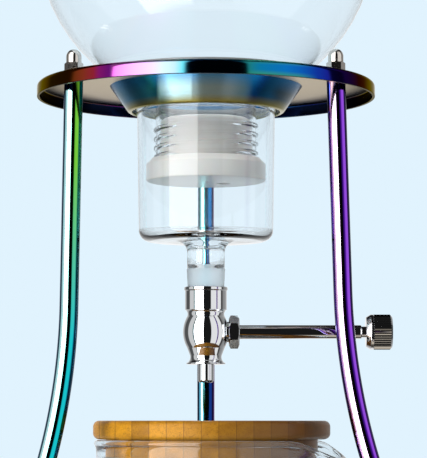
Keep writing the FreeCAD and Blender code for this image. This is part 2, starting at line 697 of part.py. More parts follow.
def make_set_screw():
    """Headless screw that clamps the knob to the spindle, with a hexagonal socket."""
    screw_foot, way = set_screw_place()
    top = SHANK_R + SET_SCREW_LENGTH
    screw = spin([
        (0, SHANK_R), (SET_SCREW_R - SET_SCREW_POINT, SHANK_R), (SET_SCREW_R, SHANK_R + SET_SCREW_POINT),
        (SET_SCREW_R, top), (0, top)])
    socket = hex_prism(SET_SCREW_SOCKET_R, SET_SCREW_LENGTH)
    socket.translate(Vector(0, 0, SHANK_R + SET_SCREW_SOCKET_FLOOR))
    screw = screw.cut(socket)
    screw.rotate(Vector(0, 0, 0), AXIS_X, -90)
    screw.translate(screw_foot)
    return screw


def make_needle_valve():
    """Body and gland, then the spindle with its knob."""
    save("valve_body", make_valve_body())
    save("socket_washer", make_socket_washer())
    save("needle_seat", make_needle_seat())
    save("drip_nozzle", make_drip_nozzle())
    save("packing_nut", make_packing_nut())
    save("packing_ring", make_packing_ring())
    save("stem_o_ring", make_stem_o_ring())
    save("valve_spindle", make_spindle())
    save("knurled_knob", make_knob())
    save("knob_set_screw", make_set_screw())


# ---------------------------------------------------------------- carafe, lid and filter cup

def spout_swell(angle, z):
    """How far the pulled lip swells out of the round wall at an angle and a height."""
    angle = (angle + 180) % 360 - 180
    if z <= SPOUT_ROOT or abs(angle) >= SPOUT_HALF_WIDTH:
        return 0.0
    rise = (z - SPOUT_ROOT) / (CARAFE_RIM - SPOUT_ROOT)
    across = math.cos(math.pi / 2 * angle / SPOUT_HALF_WIDTH) ** 2
    return SPOUT_REACH * rise ** SPOUT_POWER * across


def rim_height(x):
    """Height of the lip's edge, which dips towards the spout."""
    past = x - SPOUT_DIP_START
    return CARAFE_RIM - SPOUT_DIP_SLOPE * (past + math.hypot(past, SPOUT_DIP_SOFTNESS)) / 2


def bead_centre(angle):
    """Radius and height of the rim's bead, where the swollen wall meets the dipping edge."""
    z = CARAFE_RIM - CARAFE_BEAD_R
    for repeat in range(20):
        radius = CARAFE_R - CARAFE_WALL + CARAFE_BEAD_R - CARAFE_BEAD_INSET + spout_swell(angle, z)
        z = rim_height(radius * math.cos(math.radians(angle))) - CARAFE_BEAD_R
    return radius, z


def glass_section(angle):
    """Closed section of the carafe at an angle: floor ring, round corner, wall, bead on the rim and back."""
    bead_r, bead_z = bead_centre(angle)
    corner_r = CARAFE_R - CARAFE_CORNER_R

    def on_bead(turn):
        turn = math.radians(turn)
        return polar(bead_r + CARAFE_BEAD_R * math.cos(turn), angle, bead_z + CARAFE_BEAD_R * math.sin(turn))

    def corner(radius, floor):
        lean = radius * math.sqrt(0.5)
        return [
            polar(corner_r, angle, floor), polar(corner_r + lean, angle, floor + radius - lean),
            polar(corner_r + radius, angle, floor + radius)]

    def side(radius, start, top):
        heights = [SPOUT_ROOT + (top.z - SPOUT_ROOT) * step / 6 for step in range(6)]
        curve = Part.BSplineCurve()
        curve.interpolate(
            [start, polar(radius, angle, (start.z + SPOUT_ROOT) / 2)]
            + [polar(radius + spout_swell(angle, z), angle, z) for z in heights] + [top])
        return curve.toShape()

    low = polar(CARAFE_FLOOR_RING_R, angle, CARAFE_BASE_STEP)
    high = polar(CARAFE_FLOOR_RING_R, angle, CARAFE_FLOOR)
    outer = corner(CARAFE_CORNER_R, CARAFE_BASE_STEP)
    inner = corner(CARAFE_CORNER_R - CARAFE_WALL, CARAFE_FLOOR)
    return Part.Wire([
        Part.makeLine(low, outer[0]), Part.Arc(*outer).toShape(), side(CARAFE_R, outer[2], on_bead(-45)),
        Part.Arc(on_bead(-45), on_bead(85), on_bead(215)).toShape(),
        side(CARAFE_R - CARAFE_WALL, inner[2], on_bead(215)), Part.Arc(*inner).toShape(),
        Part.makeLine(inner[0], high), Part.makeLine(high, low)])


def make_carafe():
    """Glass carafe with round bottom corners, a pulled lip and a fire-polished bead round the rim."""
    edge_angle = SPOUT_HALF_WIDTH + SPOUT_MARGIN
    step = 2 * edge_angle / SPOUT_SECTIONS
    sections = [glass_section(-edge_angle + step * i) for i in range(SPOUT_SECTIONS + 1)]
    spout = Part.makeLoft(sections, True, False, False)
    wall = Part.Face(sections[-1]).revolve(Vector(0, 0, 0), AXIS_Z, 360 - 2 * edge_angle)
    base = drill_z(CARAFE_BASE_R, 0, CARAFE_FLOOR + CARAFE_BASE_STEP)
    glass = wall.fuse(spout).fuse(base)
    glass.rotate(Vector(0, 0, 0), AXIS_Z, SPOUT_ANGLE)
    glass.translate(Vector(CARAFE_X, 0, 0))
    return glass


def make_bamboo_lid():
    """Turned bamboo lid with a plug, a groove for its seal and a recessed hole for the filter cup."""
    recess_r, recess_depth = LID_RECESS
    groove_r, groove_low, groove_high = SEAL_GROOVE
    return spin([
        (LID_HOLE_R, PLUG_BOTTOM, 0.5), (PLUG_R, PLUG_BOTTOM, 1.5), (PLUG_R, groove_low),
        (groove_r, groove_low), (groove_r, groove_high), (PLUG_R, groove_high), (PLUG_R, LID_BOTTOM),
        (LID_R, LID_BOTTOM, LID_EDGE_R), (LID_R, LID_TOP, LID_EDGE_R), (recess_r, LID_TOP, 0.4),
        (recess_r, LID_TOP - recess_depth), (LID_HOLE_R, LID_TOP - recess_depth, 0.3)])


def make_lid_seal_ring():
    """Silicone ring with two fins in the lid's groove."""
    groove_r, low, high = SEAL_GROOVE
    low, high = low + 0.1, high - 0.1
    middle = (low + high) / 2
    return spin([
        (groove_r, low), (SEAL_ROOT_R, low), (SEAL_R, low + 0.5, 0.3), (SEAL_R, low + 1.1, 0.3),
        (SEAL_ROOT_R, middle), (SEAL_R, high - 1.1, 0.3), (SEAL_R, high - 0.5, 0.3),
        (SEAL_ROOT_R, high), (groove_r, high)])


def make_filter_cup():
    """Thin steel cup wall with a rim that lies in the lid's recess and an inturned foot."""
    rim = LID_TOP - LID_RECESS[1] + 0.1
    inner = CUP_R - CUP_WALL
    foot_width, foot_thick = CUP_FOOT
    return spin([
        (CUP_R, rim), (CUP_RIM_R, rim, 0.4), (CUP_RIM_R, rim + CUP_RIM_THICK, 0.4),
        (inner, rim + CUP_RIM_THICK, 0.4), (inner, CUP_BOTTOM + foot_thick),
        (inner - foot_width, CUP_BOTTOM + foot_thick), (inner - foot_width, CUP_BOTTOM),
        (CUP_R, CUP_BOTTOM, 0.3)])


def make_filter_screen():
    """Perforated steel disc on the cup's inturned foot."""
    low = CUP_BOTTOM + CUP_FOOT[1]
    radius = CUP_R - CUP_WALL - SCREEN_GAP
    disc = drill_z(radius, low, low + SCREEN_THICK)
    holes = []
    reach = int(radius // SCREEN_PITCH) + 1
    for row in range(-reach, reach + 1):
        for column in range(-reach, reach + 1):
            x = SCREEN_PITCH * (column + row / 2)
            y = SCREEN_PITCH * row * math.sqrt(3) / 2
            if math.hypot(x, y) < radius - SCREEN_MARGIN:
                holes.append(drill_z(SCREEN_HOLE_R, low - 1, low + 2, x, y))
    return disc.cut(holes)


def make_carafe_set():
    """Carafe, lid with its seal, and filter cup with its screen."""
    save("carafe_glass", make_carafe())
    for name, piece in (
            ("bamboo_lid", make_bamboo_lid()), ("lid_seal_ring", make_lid_seal_ring()),
            ("filter_cup", make_filter_cup()), ("filter_screen", make_filter_screen())):
        piece.translate(Vector(CARAFE_X, 0, 0))
        save(name, piece)


os.makedirs("parts", exist_ok=True)
make_stand()
make_water_globe()
save("drip_chamber_glass", make_drip_chamber())
make_needle_valve()
make_carafe_set()
for name, solids, valid in EXPORTED:
    print(f"{name:20s} solids {solids} valid {valid}")
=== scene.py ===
"""Cold drip coffee tower: steel stand, water globe, drip chamber, needle valve and carafe, in their studio."""

import json
import logging
import math
from collections.abc import Callable, Sequence
from dataclasses import dataclass, field
from enum import Enum

import bpy
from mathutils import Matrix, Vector

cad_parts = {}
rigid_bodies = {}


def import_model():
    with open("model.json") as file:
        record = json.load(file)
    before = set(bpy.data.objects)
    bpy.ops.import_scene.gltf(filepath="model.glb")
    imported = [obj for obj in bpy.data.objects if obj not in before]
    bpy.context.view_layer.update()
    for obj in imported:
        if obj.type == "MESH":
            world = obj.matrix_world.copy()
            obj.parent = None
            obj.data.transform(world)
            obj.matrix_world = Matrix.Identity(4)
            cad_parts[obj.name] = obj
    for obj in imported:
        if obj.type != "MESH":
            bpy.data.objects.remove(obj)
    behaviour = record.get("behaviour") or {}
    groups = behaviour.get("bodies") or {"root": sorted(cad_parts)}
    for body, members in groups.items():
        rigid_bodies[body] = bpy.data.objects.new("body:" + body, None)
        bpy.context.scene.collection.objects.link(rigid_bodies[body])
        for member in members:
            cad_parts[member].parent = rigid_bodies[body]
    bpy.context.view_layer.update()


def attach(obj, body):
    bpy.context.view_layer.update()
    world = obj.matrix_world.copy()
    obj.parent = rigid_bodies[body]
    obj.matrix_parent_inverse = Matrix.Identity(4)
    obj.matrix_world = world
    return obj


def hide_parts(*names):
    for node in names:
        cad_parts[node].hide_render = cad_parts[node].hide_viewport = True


LOG = logging.getLogger("drip_tower")
MM = 0.001
ARC_STEP = math.radians(6)
ROUND_STEP = math.radians(15)
WELD = 1e-6
NEAR = 1e-3

Place = tuple[float, float]
Outline = Sequence[tuple]
Mesh = bpy.types.Object


class Shape(Enum):
    """How a boolean joins two closed meshes."""

    UNION = "UNION"
    CUT = "DIFFERENCE"
    COMMON = "INTERSECT"


class Axis(Enum):
    """Which way marks run."""

    X = 0
    Y = 1
    Z = 2


class Leg(Enum):
    """The stand's legs."""

    LEFT = "left"
    RIGHT = "right"
    REAR = "rear"


# ---------------------------------------------------------------- modelling by hand

def deselect() -> None:
    """Leaves edit mode and deselects everything."""
    if bpy.context.object and bpy.context.object.mode != "OBJECT":
        bpy.ops.object.mode_set(mode="OBJECT")
    bpy.ops.object.select_all(action="DESELECT")


def take(piece: Mesh) -> None:
    """Makes one piece the selected and active object.

    Args:
        piece: the mesh object.
    """
    deselect()
    piece.select_set(True)
    bpy.context.view_layer.objects.active = piece


def edit(piece: Mesh, mode: str = "VERT") -> None:
    """Opens one piece in edit mode, with vertices, edges or faces to select.

    Args:
        piece: the mesh object.
        mode: VERT, EDGE or FACE, what is selected in it.
    """
    take(piece)
    bpy.ops.object.mode_set(mode="EDIT")
    bpy.ops.mesh.select_mode(type=mode)


def pick(piece: Mesh, wanted: Callable[[Vector], bool]) -> None:
    """Selects the vertices whose place, in millimetres, passes a test, and opens the piece for editing.

    Args:
        piece: the mesh object.
        wanted: a test on a vertex's place.
    """
    take(piece)
    mesh = piece.data
    for part in (mesh.polygons, mesh.edges):
        part.foreach_set("select", [False] * len(part))
    mesh.vertices.foreach_set("select", [wanted(v.co / MM) for v in mesh.vertices])
    edit(piece)


def close_up() -> None:
    """Merges the edited mesh's doubles, turns its faces outwards and leaves edit mode."""
    bpy.ops.mesh.select_all(action="SELECT")
    bpy.ops.mesh.remove_doubles(threshold=WELD)
    bpy.ops.mesh.normals_make_consistent(inside=False)
    bpy.ops.object.mode_set(mode="OBJECT")


def soften(piece: Mesh, angle: float = 32) -> Mesh:
    """Shades a piece smooth, apart from edges sharper than an angle in degrees.

    Args:
        piece: the mesh object.
        angle: the sharpest angle that is smoothed.

    Returns:
        The piece.
    """
    take(piece)
    bpy.ops.object.shade_smooth_by_angle(angle=math.radians(angle))
    return piece


def settle(piece: Mesh) -> Mesh:
    """Puts a piece's place, turn and scale into its mesh.

    Args:
        piece: the mesh object.

    Returns:
        The piece.
    """
    take(piece)
    bpy.ops.object.transform_apply(location=True, rotation=True, scale=True)
    return piece


def combine(piece: Mesh, other: Mesh, shape: Shape) -> None:
    """Joins, cuts or trims a closed mesh with another one, which is used up.

    Args:
        piece: the closed mesh that stays.
        other: the closed mesh that is used up.
        shape: how they join.
    """
    take(piece)
    tool = piece.modifiers.new("shape", "BOOLEAN")
    tool.operation, tool.object, tool.solver = shape.value, other, "EXACT"
    bpy.ops.object.modifier_apply(modifier=tool.name)
    bpy.data.objects.remove(other)


def circle_through(a: Vector, b: Vector, c: Vector) -> tuple[Vector, float]:
    """Centre of the arc through three points in the XZ plane, and its signed angle from a to c.

    Args:
        a: the arc's start.
        b: a point on it.
        c: its end.

    Returns:
        The centre, and the angle about +Y in radians.
    """
    ab, cb = (a.x - b.x, a.z - b.z), (c.x - b.x, c.z - b.z)
    cross = 2 * (ab[0] * cb[1] - ab[1] * cb[0])
    na, nc = ab[0] ** 2 + ab[1] ** 2, cb[0] ** 2 + cb[1] ** 2
    centre = b + Vector((cb[1] * na - ab[1] * nc, 0, ab[0] * nc - cb[0] * na)) / cross
    start, mid, end = (math.atan2(p.x - centre.x, p.z - centre.z) for p in (a, b, c))
    way = (mid - start + math.pi) % math.tau - math.pi
    angle = (end - start) % math.tau if way > 0 else -((start - end) % math.tau)
    return centre, angle


def draw(name: str, outline: Outline) -> Mesh:
    """Draws a wire in the XZ plane, one vertex extruded from the last.

    Args:
        name: the new object's name.
        outline: points (r, z), (r, z, round) for a rounded corner, or (r, z, "via") for the middle of an
            arc between its neighbours, in millimetres.

    Returns:
        The wire, closed unless both its ends lie on the axis.
    """
    deselect()
    bpy.ops.mesh.primitive_plane_add(size=MM)
    piece = bpy.context.object
    piece.name = name
    edit(piece)
    bpy.ops.mesh.select_all(action="SELECT")
    bpy.ops.mesh.merge(type="CENTER")
    places = [Vector((p[0], 0, p[1])) * MM for p in outline]
    kinds = [p[2] if len(p) > 2 else 0 for p in outline]
    bpy.ops.transform.translate(value=places[0])
    for i in range(1, len(places)):
        if kinds[i] == "via":
            centre, angle = circle_through(places[i - 1], places[i], places[i + 1])
            bpy.ops.mesh.spin(
                steps=max(3, math.ceil(abs(angle) / ARC_STEP)), angle=abs(angle), center=centre,
                axis=(0, -math.copysign(1, angle), 0))
        elif kinds[i - 1] != "via":
            bpy.ops.mesh.extrude_vertices_move(
                TRANSFORM_OT_translate={"value": places[i] - places[i - 1]})
    if places[0].x > WELD or places[-1].x > WELD:
        ends = [places[0] / MM, places[-1] / MM]
        pick(piece, lambda co: any((co - end).length < NEAR for end in ends))
        bpy.ops.mesh.edge_face_add()
    for i, kind in enumerate(kinds):
        if kind and kind != "via":
            round_corner(piece, places[i - 1], places[i], places[(i + 1) % len(places)], kind)
    bpy.ops.object.mode_set(mode="OBJECT")
    return piece


def round_corner(wire: Mesh, before: Vector, corner: Vector, after: Vector, radius: float) -> None:
    """Rounds one corner of a drawn wire to a radius in millimetres.

    Args:
        wire: the wire, which is opened for editing.
        before: the point before the corner.
        corner: the corner.
        after: the point after it.
        radius: the round's radius.
    """
    half = (before - corner).angle(after - corner) / 2
    pick(wire, lambda co: (co - corner / MM).length < NEAR)
    bpy.ops.mesh.bevel(
        offset_type="OFFSET", offset=radius * MM / math.tan(half), affect="VERTICES", clamp_overlap=False,
        segments=max(2, math.ceil((math.pi - 2 * half) / ROUND_STEP)))


def turn(name: str, outline: Outline, steps: int = 96) -> Mesh:
    """Draws an outline and spins it about the Z axis, as on a lathe.

    Args:
        name: the new object's name.
        outline: points as draw takes them.
        steps: number of steps round the axis.

    Returns:
        The closed piece.
    """
    piece = draw(name, outline)
    edit(piece)
    bpy.ops.mesh.select_all(action="SELECT")
    bpy.ops.mesh.spin(steps=steps, angle=math.tau, center=(0, 0, 0), axis=(0, 0, 1))
    close_up()
    return piece


def drill(radius: float, low: float, high: float, x: float = 0, y: float = 0) -> Mesh:
    """Upright cylinder that a hole is cut with.

    Args:
        radius: its radius in millimetres.
        low: height of its foot.
        high: height of its top.
        x: its axis' place along X.
        y: its axis' place along Y.

    Returns:
        The cylinder.
    """
    deselect()
    bpy.ops.mesh.primitive_cylinder_add(
        vertices=32, radius=radius * MM, depth=(high - low) * MM,
        location=(x * MM, y * MM, (low + high) / 2 * MM))
    return settle(bpy.context.object)


def polar(radius: float, angle: float) -> Place:
    """Point at a radius and an angle in degrees round the axis."""
    return radius * math.cos(math.radians(angle)), radius * math.sin(math.radians(angle))


def place(piece: Mesh, body: str, slot: str, finish: bpy.types.Material, *nodes: str) -> None:
    """Gives a finished piece its material and its body, and hides the nodes that it stands for.

    Args:
        piece: the finished piece.
        body: the body that it rides on.
        slot: its material slot's name; a clear_glass piece casts no shadow.
        finish: its material.
        *nodes: the CAD nodes that it stands for.
    """
    piece.data.materials.clear()
    piece.data.materials.append(finish)
    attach(piece, body)
    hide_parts(*nodes)
    # Light passes through glass as if there were none, so what it holds is lit.
    piece.visible_shadow = slot != "clear_glass"
    LOG.info("%s rides on %s", piece.name, body)


def swing(piece: Mesh, name: str, angle: float) -> Mesh:
    """Names a piece made in the XZ plane and swings it round the Z axis.

    Args:
        piece: the piece.
        name: its name.
        angle: the swing in degrees.

    Returns:
        The piece, its swing put into its mesh.
    """
    piece.name = name
    piece.rotation_euler.z = math.radians(angle)
    return settle(piece)


def copy_of(piece: Mesh) -> Mesh:
    """Copies a piece with a mesh of its own.

    Args:
        piece: the mesh object.

    Returns:
        The copy.
    """
    twin = piece.copy()
    twin.data = piece.data.copy()
    bpy.context.collection.objects.link(twin)
    return twin


def lay_along_x(piece: Mesh, x: float, z: float) -> Mesh:
    """Turns a piece made up the Z axis to lie along X, its foot at a place (x, z) in millimetres.

    Args:
        piece: the piece, made from nought upwards.
        x: where its foot comes to lie.
        z: the height of its axis.

    Returns:
        The piece.
    """
    piece.rotation_euler.y = math.pi / 2
    piece.location = Vector((x, 0, z)) * MM
    return settle(piece)


def slice_flat(piece: Mesh, z: float, keep_above: bool) -> None:
    """Cuts a closed piece with a level plane at a height in millimetres, drops one side and caps the cut.

    Args:
        piece: the closed piece.
        z: height of the plane.
        keep_above: whether the side above the plane stays.
    """
    edit(piece)
    bpy.ops.mesh.select_all(action="SELECT")
    bpy.ops.mesh.bisect(
        plane_co=(0, 0, z * MM), plane_no=(0, 0, 1), use_fill=True, clear_inner=keep_above,
        clear_outer=not keep_above)
    close_up()


def prism(corners: int, corner_r: float, low: float, high: float, first_angle: float = 0) -> Mesh:
    """Upright prism with a regular base, on the Z axis.

    Args:
        corners: number of corners.
        corner_r: radius of its corners in millimetres.
        low: height of its base.
        high: height of its top.
        first_angle: angle of its first corner in degrees from +X.

    Returns:
        The prism.
    """
    deselect()
    bpy.ops.mesh.primitive_cylinder_add(
        vertices=corners, radius=corner_r * MM, depth=(high - low) * MM,
        location=(0, 0, (low + high) / 2 * MM), rotation=(0, 0, math.radians(first_angle - 90)))
    return settle(bpy.context.object)


@dataclass(frozen=True)
class Thread:
    """Helical ridge of a screw thread, in millimetres and degrees."""

    root_r: float
    crest_r: float
    root_half: float
    crest_half: float
    low: float
    high: float
    phase: float
    pitch: float = 4.0
    steps: int = 96

    def model(self) -> Mesh:
        """Screws the ridge's section up the Z axis and closes its ends.

        Returns:
            The ridge.
        """
        ridge = draw("ridge", [
            (self.root_r, self.low - self.root_half), (self.crest_r, self.low - self.crest_half),
            (self.crest_r, self.low + self.crest_half), (self.root_r, self.low + self.root_half)])
        take(ridge)
        turns = (self.high - self.low) / self.pitch
        screw = ridge.modifiers.new("thread", "SCREW")
        screw.angle, screw.screw_offset = math.tau * turns, (self.high - self.low) * MM
        screw.steps = screw.render_steps = round(self.steps * turns)
        bpy.ops.object.modifier_apply(modifier=screw.name)
        edit(ridge)
        bpy.ops.mesh.select_all(action="SELECT")
        bpy.ops.mesh.fill_holes(sides=5)
        close_up()
        ridge.rotation_euler.z = math.radians(self.phase)
        return settle(ridge)


# ---------------------------------------------------------------- finishes

def linear(colour: str) -> tuple[float, float, float, float]:
    """Turns an sRGB hex colour such as "#C98A1E" into a linear one with alpha 1."""
    parts = (int(colour[i:i + 2], 16) / 255 for i in (1, 3, 5))
    return *(c / 12.92 if c <= 0.04045 else ((c + 0.055) / 1.055) ** 2.4 for c in parts), 1.0


def add(tree: bpy.types.NodeTree, kind: str, inputs: dict | None = None, stops: Sequence[tuple] = (),
        **settings: object) -> bpy.types.Node:
    """Adds a shader node with its settings and links.

    Args:
        tree: the node tree.
        kind: the node's type, without "ShaderNode".
        inputs: values, hex colours, sockets or nodes for its inputs, by their names or numbers. A node
            stands for its first output that its settings leave in use.
        stops: a colour ramp's stops, each a place and a hex colour or a grey level.
        **settings: the node's own properties.

    Returns:
        The node.
    """
    node = tree.nodes.new("ShaderNode" + kind)
    for name, value in settings.items():
        setattr(node, name, value)
    for name, value in (inputs or {}).items():
        if isinstance(value, bpy.types.Node):
            value = next(socket for socket in value.outputs if socket.enabled)
        if isinstance(value, bpy.types.NodeSocket):
            tree.links.new(value, node.inputs[name])
        else:
            node.inputs[name].default_value = linear(value) if isinstance(value, str) else value
    if stops:
        ramp = node.color_ramp.elements
        while len(ramp) < len(stops):
            ramp.new(0.5)
        for element, (place_on_ramp, colour) in zip(ramp, stops):
            element.position = place_on_ramp
            element.color = linear(colour) if isinstance(colour, str) else (colour, colour, colour, 1.0)
    return node


def clear_material(name: str) -> tuple[bpy.types.Material, bpy.types.NodeTree]:
    """Makes a material with an empty node tree.

    Args:
        name: the material's name.

    Returns:
        The material and its tree.
    """
    material = bpy.data.materials.new(name)
    material.use_nodes = True
    material.node_tree.nodes.clear()
    return material, material.node_tree


def shade(tree: bpy.types.NodeTree, inputs: dict) -> None:
    """Ends a material's tree with its shader, whose inputs are given as add takes them, and its output."""
    add(tree, "OutputMaterial", {"Surface": add(tree, "BsdfPrincipled", inputs)})


def dress(node: str, finish: bpy.types.Material) -> None:
    """Gives a CAD node, which stays as it is, a material.

    Args:
        node: the CAD node's name.
        finish: the material.
    """
    slots = bpy.data.objects[node].material_slots
    for slot in slots:
        slot.link = "OBJECT"
        slot.material = finish
    LOG.info("%s keeps its CAD shape, in %s", node, finish.name)


@dataclass(frozen=True)
class Streaks:
    """Fine marks of polishing or turning: their width and length in millimetres and how deep they show."""

    width: float
    length: float
    along: Axis
    depth: float
    uneven: float

    def draw_on(self, tree: bpy.types.NodeTree) -> tuple[bpy.types.Node, bpy.types.Node]:
        """Adds the marks to a tree.

        Args:
            tree: the material's tree.

        Returns:
            The node of the marks, a value round 0.5, and the node of the normal that they bump.
        """
        scale = [1 / (self.width * MM)] * 3
        scale[self.along.value] = 1 / (self.length * MM)
        place_of = add(tree, "TexCoord").outputs["Object"]
        stretched = add(tree, "Mapping", {"Vector": place_of, "Scale": scale})
        marks = add(tree, "TexNoise", {"Vector": stretched, "Scale": 1.0, "Detail": 2.0})
        bump = add(tree, "Bump", {"Strength": self.depth, "Distance": 0.02 * MM, "Height": marks})
        return marks, bump


@dataclass(frozen=True)
class RainbowSteel:
    """Polished stainless steel plate with a rainbow PVD film.

    The film shifts from gold through magenta, teal and blue to violet across the plate; where the rim mirrors
    the studio's dark front it is painted a near-black navy, a painted dark reflection. Its rim is bright, its
    flat top is satin, the underside was left satin and bare, and the inside of the lip, under the plate, is
    painted near-black navy as painted shade.
    """

    # From -6 to 14 mm the rim's colour dips to near-black navy: a painted dark reflection of the studio's dark
    # front, over the film's blue.
    rim: tuple = (
        (-73.6, "#7A6E0C"), (-70.0, "#7A6A0A"), (-67.5, "#6E5208"), (-62.0, "#5A3A0A"), (-57.4, "#5A3010"),
        (-50.8, "#8A3420"), (-46.0, "#9A2438"), (-43.7, "#8A1A70"), (-39.4, "#6A1478"), (-38.0, "#904088"),
        (-30.0, "#8A5A90"), (-22.3, "#746882"), (-17.0, "#647480"), (-13.0, "#5B6E74"), (-9.5, "#306C74"),
        (-6.0, "#0A2A48"), (14.0, "#0A3A50"), (17.7, "#1A7A80"), (22.0, "#0A74A0"), (33.0, "#0A6CB8"),
        (39.0, "#0A58B0"), (45.3, "#0E3498"), (50.0, "#14208A"), (55.3, "#220C6A"), (60.3, "#260C54"),
        (64.6, "#3A0E2A"), (67.0, "#4A1818"), (69.6, "#786810"), (73.6, "#847820"))
    # Along both edges of the rim the blue goes green: the green, and its reach along X.
    rim_edge: str = "#3E9A48"
    edge_hues: Place = (14.0, 46.0)
    rim_z: Place = (267.4, 273.6)
    edge_band: Place = (0.35, 1.05)
    edge_share: float = 0.75
    grazing: str = "#C8BC98"
    underside: str = "#ECE8EE"
    underside_edge: str = "#5E6678"
    underside_fade: Place = (56.0, 71.0)
    # Painted shade: the lip's inner face, under the plate, gets a near-black navy.
    painted_lip_shade: str = "#0C1836"
    half_width: float = 73.6
    wander: float = 2.0
    # Levels of the surface's direction that tell the sheet's sides apart.
    faces_down: float = -0.7
    stands_up: float = 0.5
    lies_flat: float = 0.8
    rim_and_flat_rough: Place = (0.06, 0.32)
    streaks: Streaks = Streaks(0.12, 6.0, Axis.X, 0.05, 0.04)

    def make(self) -> bpy.types.Material:
        """Builds the material: colour by place across the plate, finish by side of the sheet.

        Returns:
            The material.
        """
        material, tree = clear_material("rainbow_pvd_steel")
        marks, normal = self.streaks.draw_on(tree)
        coords = add(tree, "TexCoord")
        parts = add(tree, "SeparateXYZ", {0: coords.outputs["Object"]})
        wander = add(tree, "TexNoise", {"Vector": coords.outputs["Object"], "Scale": 30.0, "Detail": 1.0})
        shifted = add(tree, "Math", {
            0: wander, 1: self.wander * MM, 2: parts.outputs[0]}, operation="MULTIPLY_ADD")
        middle = self.wander / 2
        across = add(tree, "MapRange", {
            "Value": shifted, "From Min": (middle - self.half_width) * MM,
            "From Max": (middle + self.half_width) * MM})
        stops = [((x_mm + self.half_width) / (2 * self.half_width), colour) for x_mm, colour in self.rim]
        film = add(tree, "ValToRGB", {0: across}, stops)
        # The film is a shade thicker along both edges of the rim, so its blue goes green there.
        middle_z, half_z = sum(self.rim_z) / 2 * MM, (self.rim_z[1] - self.rim_z[0]) / 2 * MM
        begin, full = self.edge_band
        from_middle = add(tree, "Math", {0: parts.outputs[2], 1: middle_z}, operation="SUBTRACT")
        off_middle = add(tree, "Math", {0: from_middle}, operation="ABSOLUTE")
        near_edge = add(tree, "MapRange", {
            "Value": off_middle, "From Min": begin * half_z, "From Max": full * half_z,
            "To Max": self.edge_share})
        first, last = self.edge_hues
        from_blue = add(tree, "Math", {0: parts.outputs[0], 1: (first + last) / 2 * MM}, operation="SUBTRACT")
        off_blue = add(tree, "Math", {0: from_blue}, operation="ABSOLUTE")
        in_blue = add(tree, "MapRange", {
            "Value": off_blue, "From Min": (last - first) / 2 * MM, "From Max": (last - first) / 4 * MM})
        green = add(tree, "Math", {0: near_edge, 1: in_blue}, operation="MULTIPLY")
        film = add(tree, "Mix", {0: green, 6: film, 7: self.rim_edge}, data_type="RGBA")
        facing = add(tree, "SeparateXYZ", {0: coords.outputs["Normal"]})
        down = add(tree, "Math", {0: facing.outputs[2], 1: self.faces_down}, operation="LESS_THAN")
        outward = add(tree, "VectorMath", {0: coords.outputs["Normal"], 1: coords.outputs["Object"]},
                      operation="DOT_PRODUCT")
        level = add(tree, "Math", {0: facing.outputs[2]}, operation="ABSOLUTE")
        upright = add(tree, "Math", {0: level, 1: self.stands_up}, operation="LESS_THAN")
        inward = add(tree, "Math", {0: outward, 1: 0.0}, operation="LESS_THAN")
        inside = add(tree, "Math", {0: inward, 1: upright}, operation="MULTIPLY")
        # Painted shade on the lip's inward, upright inner face.
        with_painted_lip_shade = add(tree, "Mix", {0: inside, 6: film, 7: self.painted_lip_shade}, data_type="RGBA")
        out = add(tree, "VectorMath", {0: coords.outputs["Object"], 1: (1, 1, 0)}, operation="MULTIPLY")
        radius = add(tree, "VectorMath", {0: out}, operation="LENGTH")
        low, high = self.underside_fade
        outer = add(tree, "MapRange", {"Value": radius, "From Min": low * MM, "From Max": high * MM})
        bare = add(tree, "Mix", {0: outer, 6: self.underside, 7: self.underside_edge}, data_type="RGBA")
        colour = add(tree, "Mix", {0: down, 6: with_painted_lip_shade, 7: bare}, data_type="RGBA")
        flat = add(tree, "Math", {0: level, 1: self.lies_flat}, operation="GREATER_THAN")
        glossy, satin = self.rim_and_flat_rough
        rough = add(tree, "MapRange", {"Value": flat, "To Min": glossy, "To Max": satin})
        worn = add(tree, "Math", {0: marks, 1: self.streaks.uneven, 2: rough}, operation="MULTIPLY_ADD")
        shade(tree, {
            "Base Color": colour, "Metallic": 1.0, "Roughness": worn, "Specular Tint": self.grazing,
            "Normal": normal})
        return material


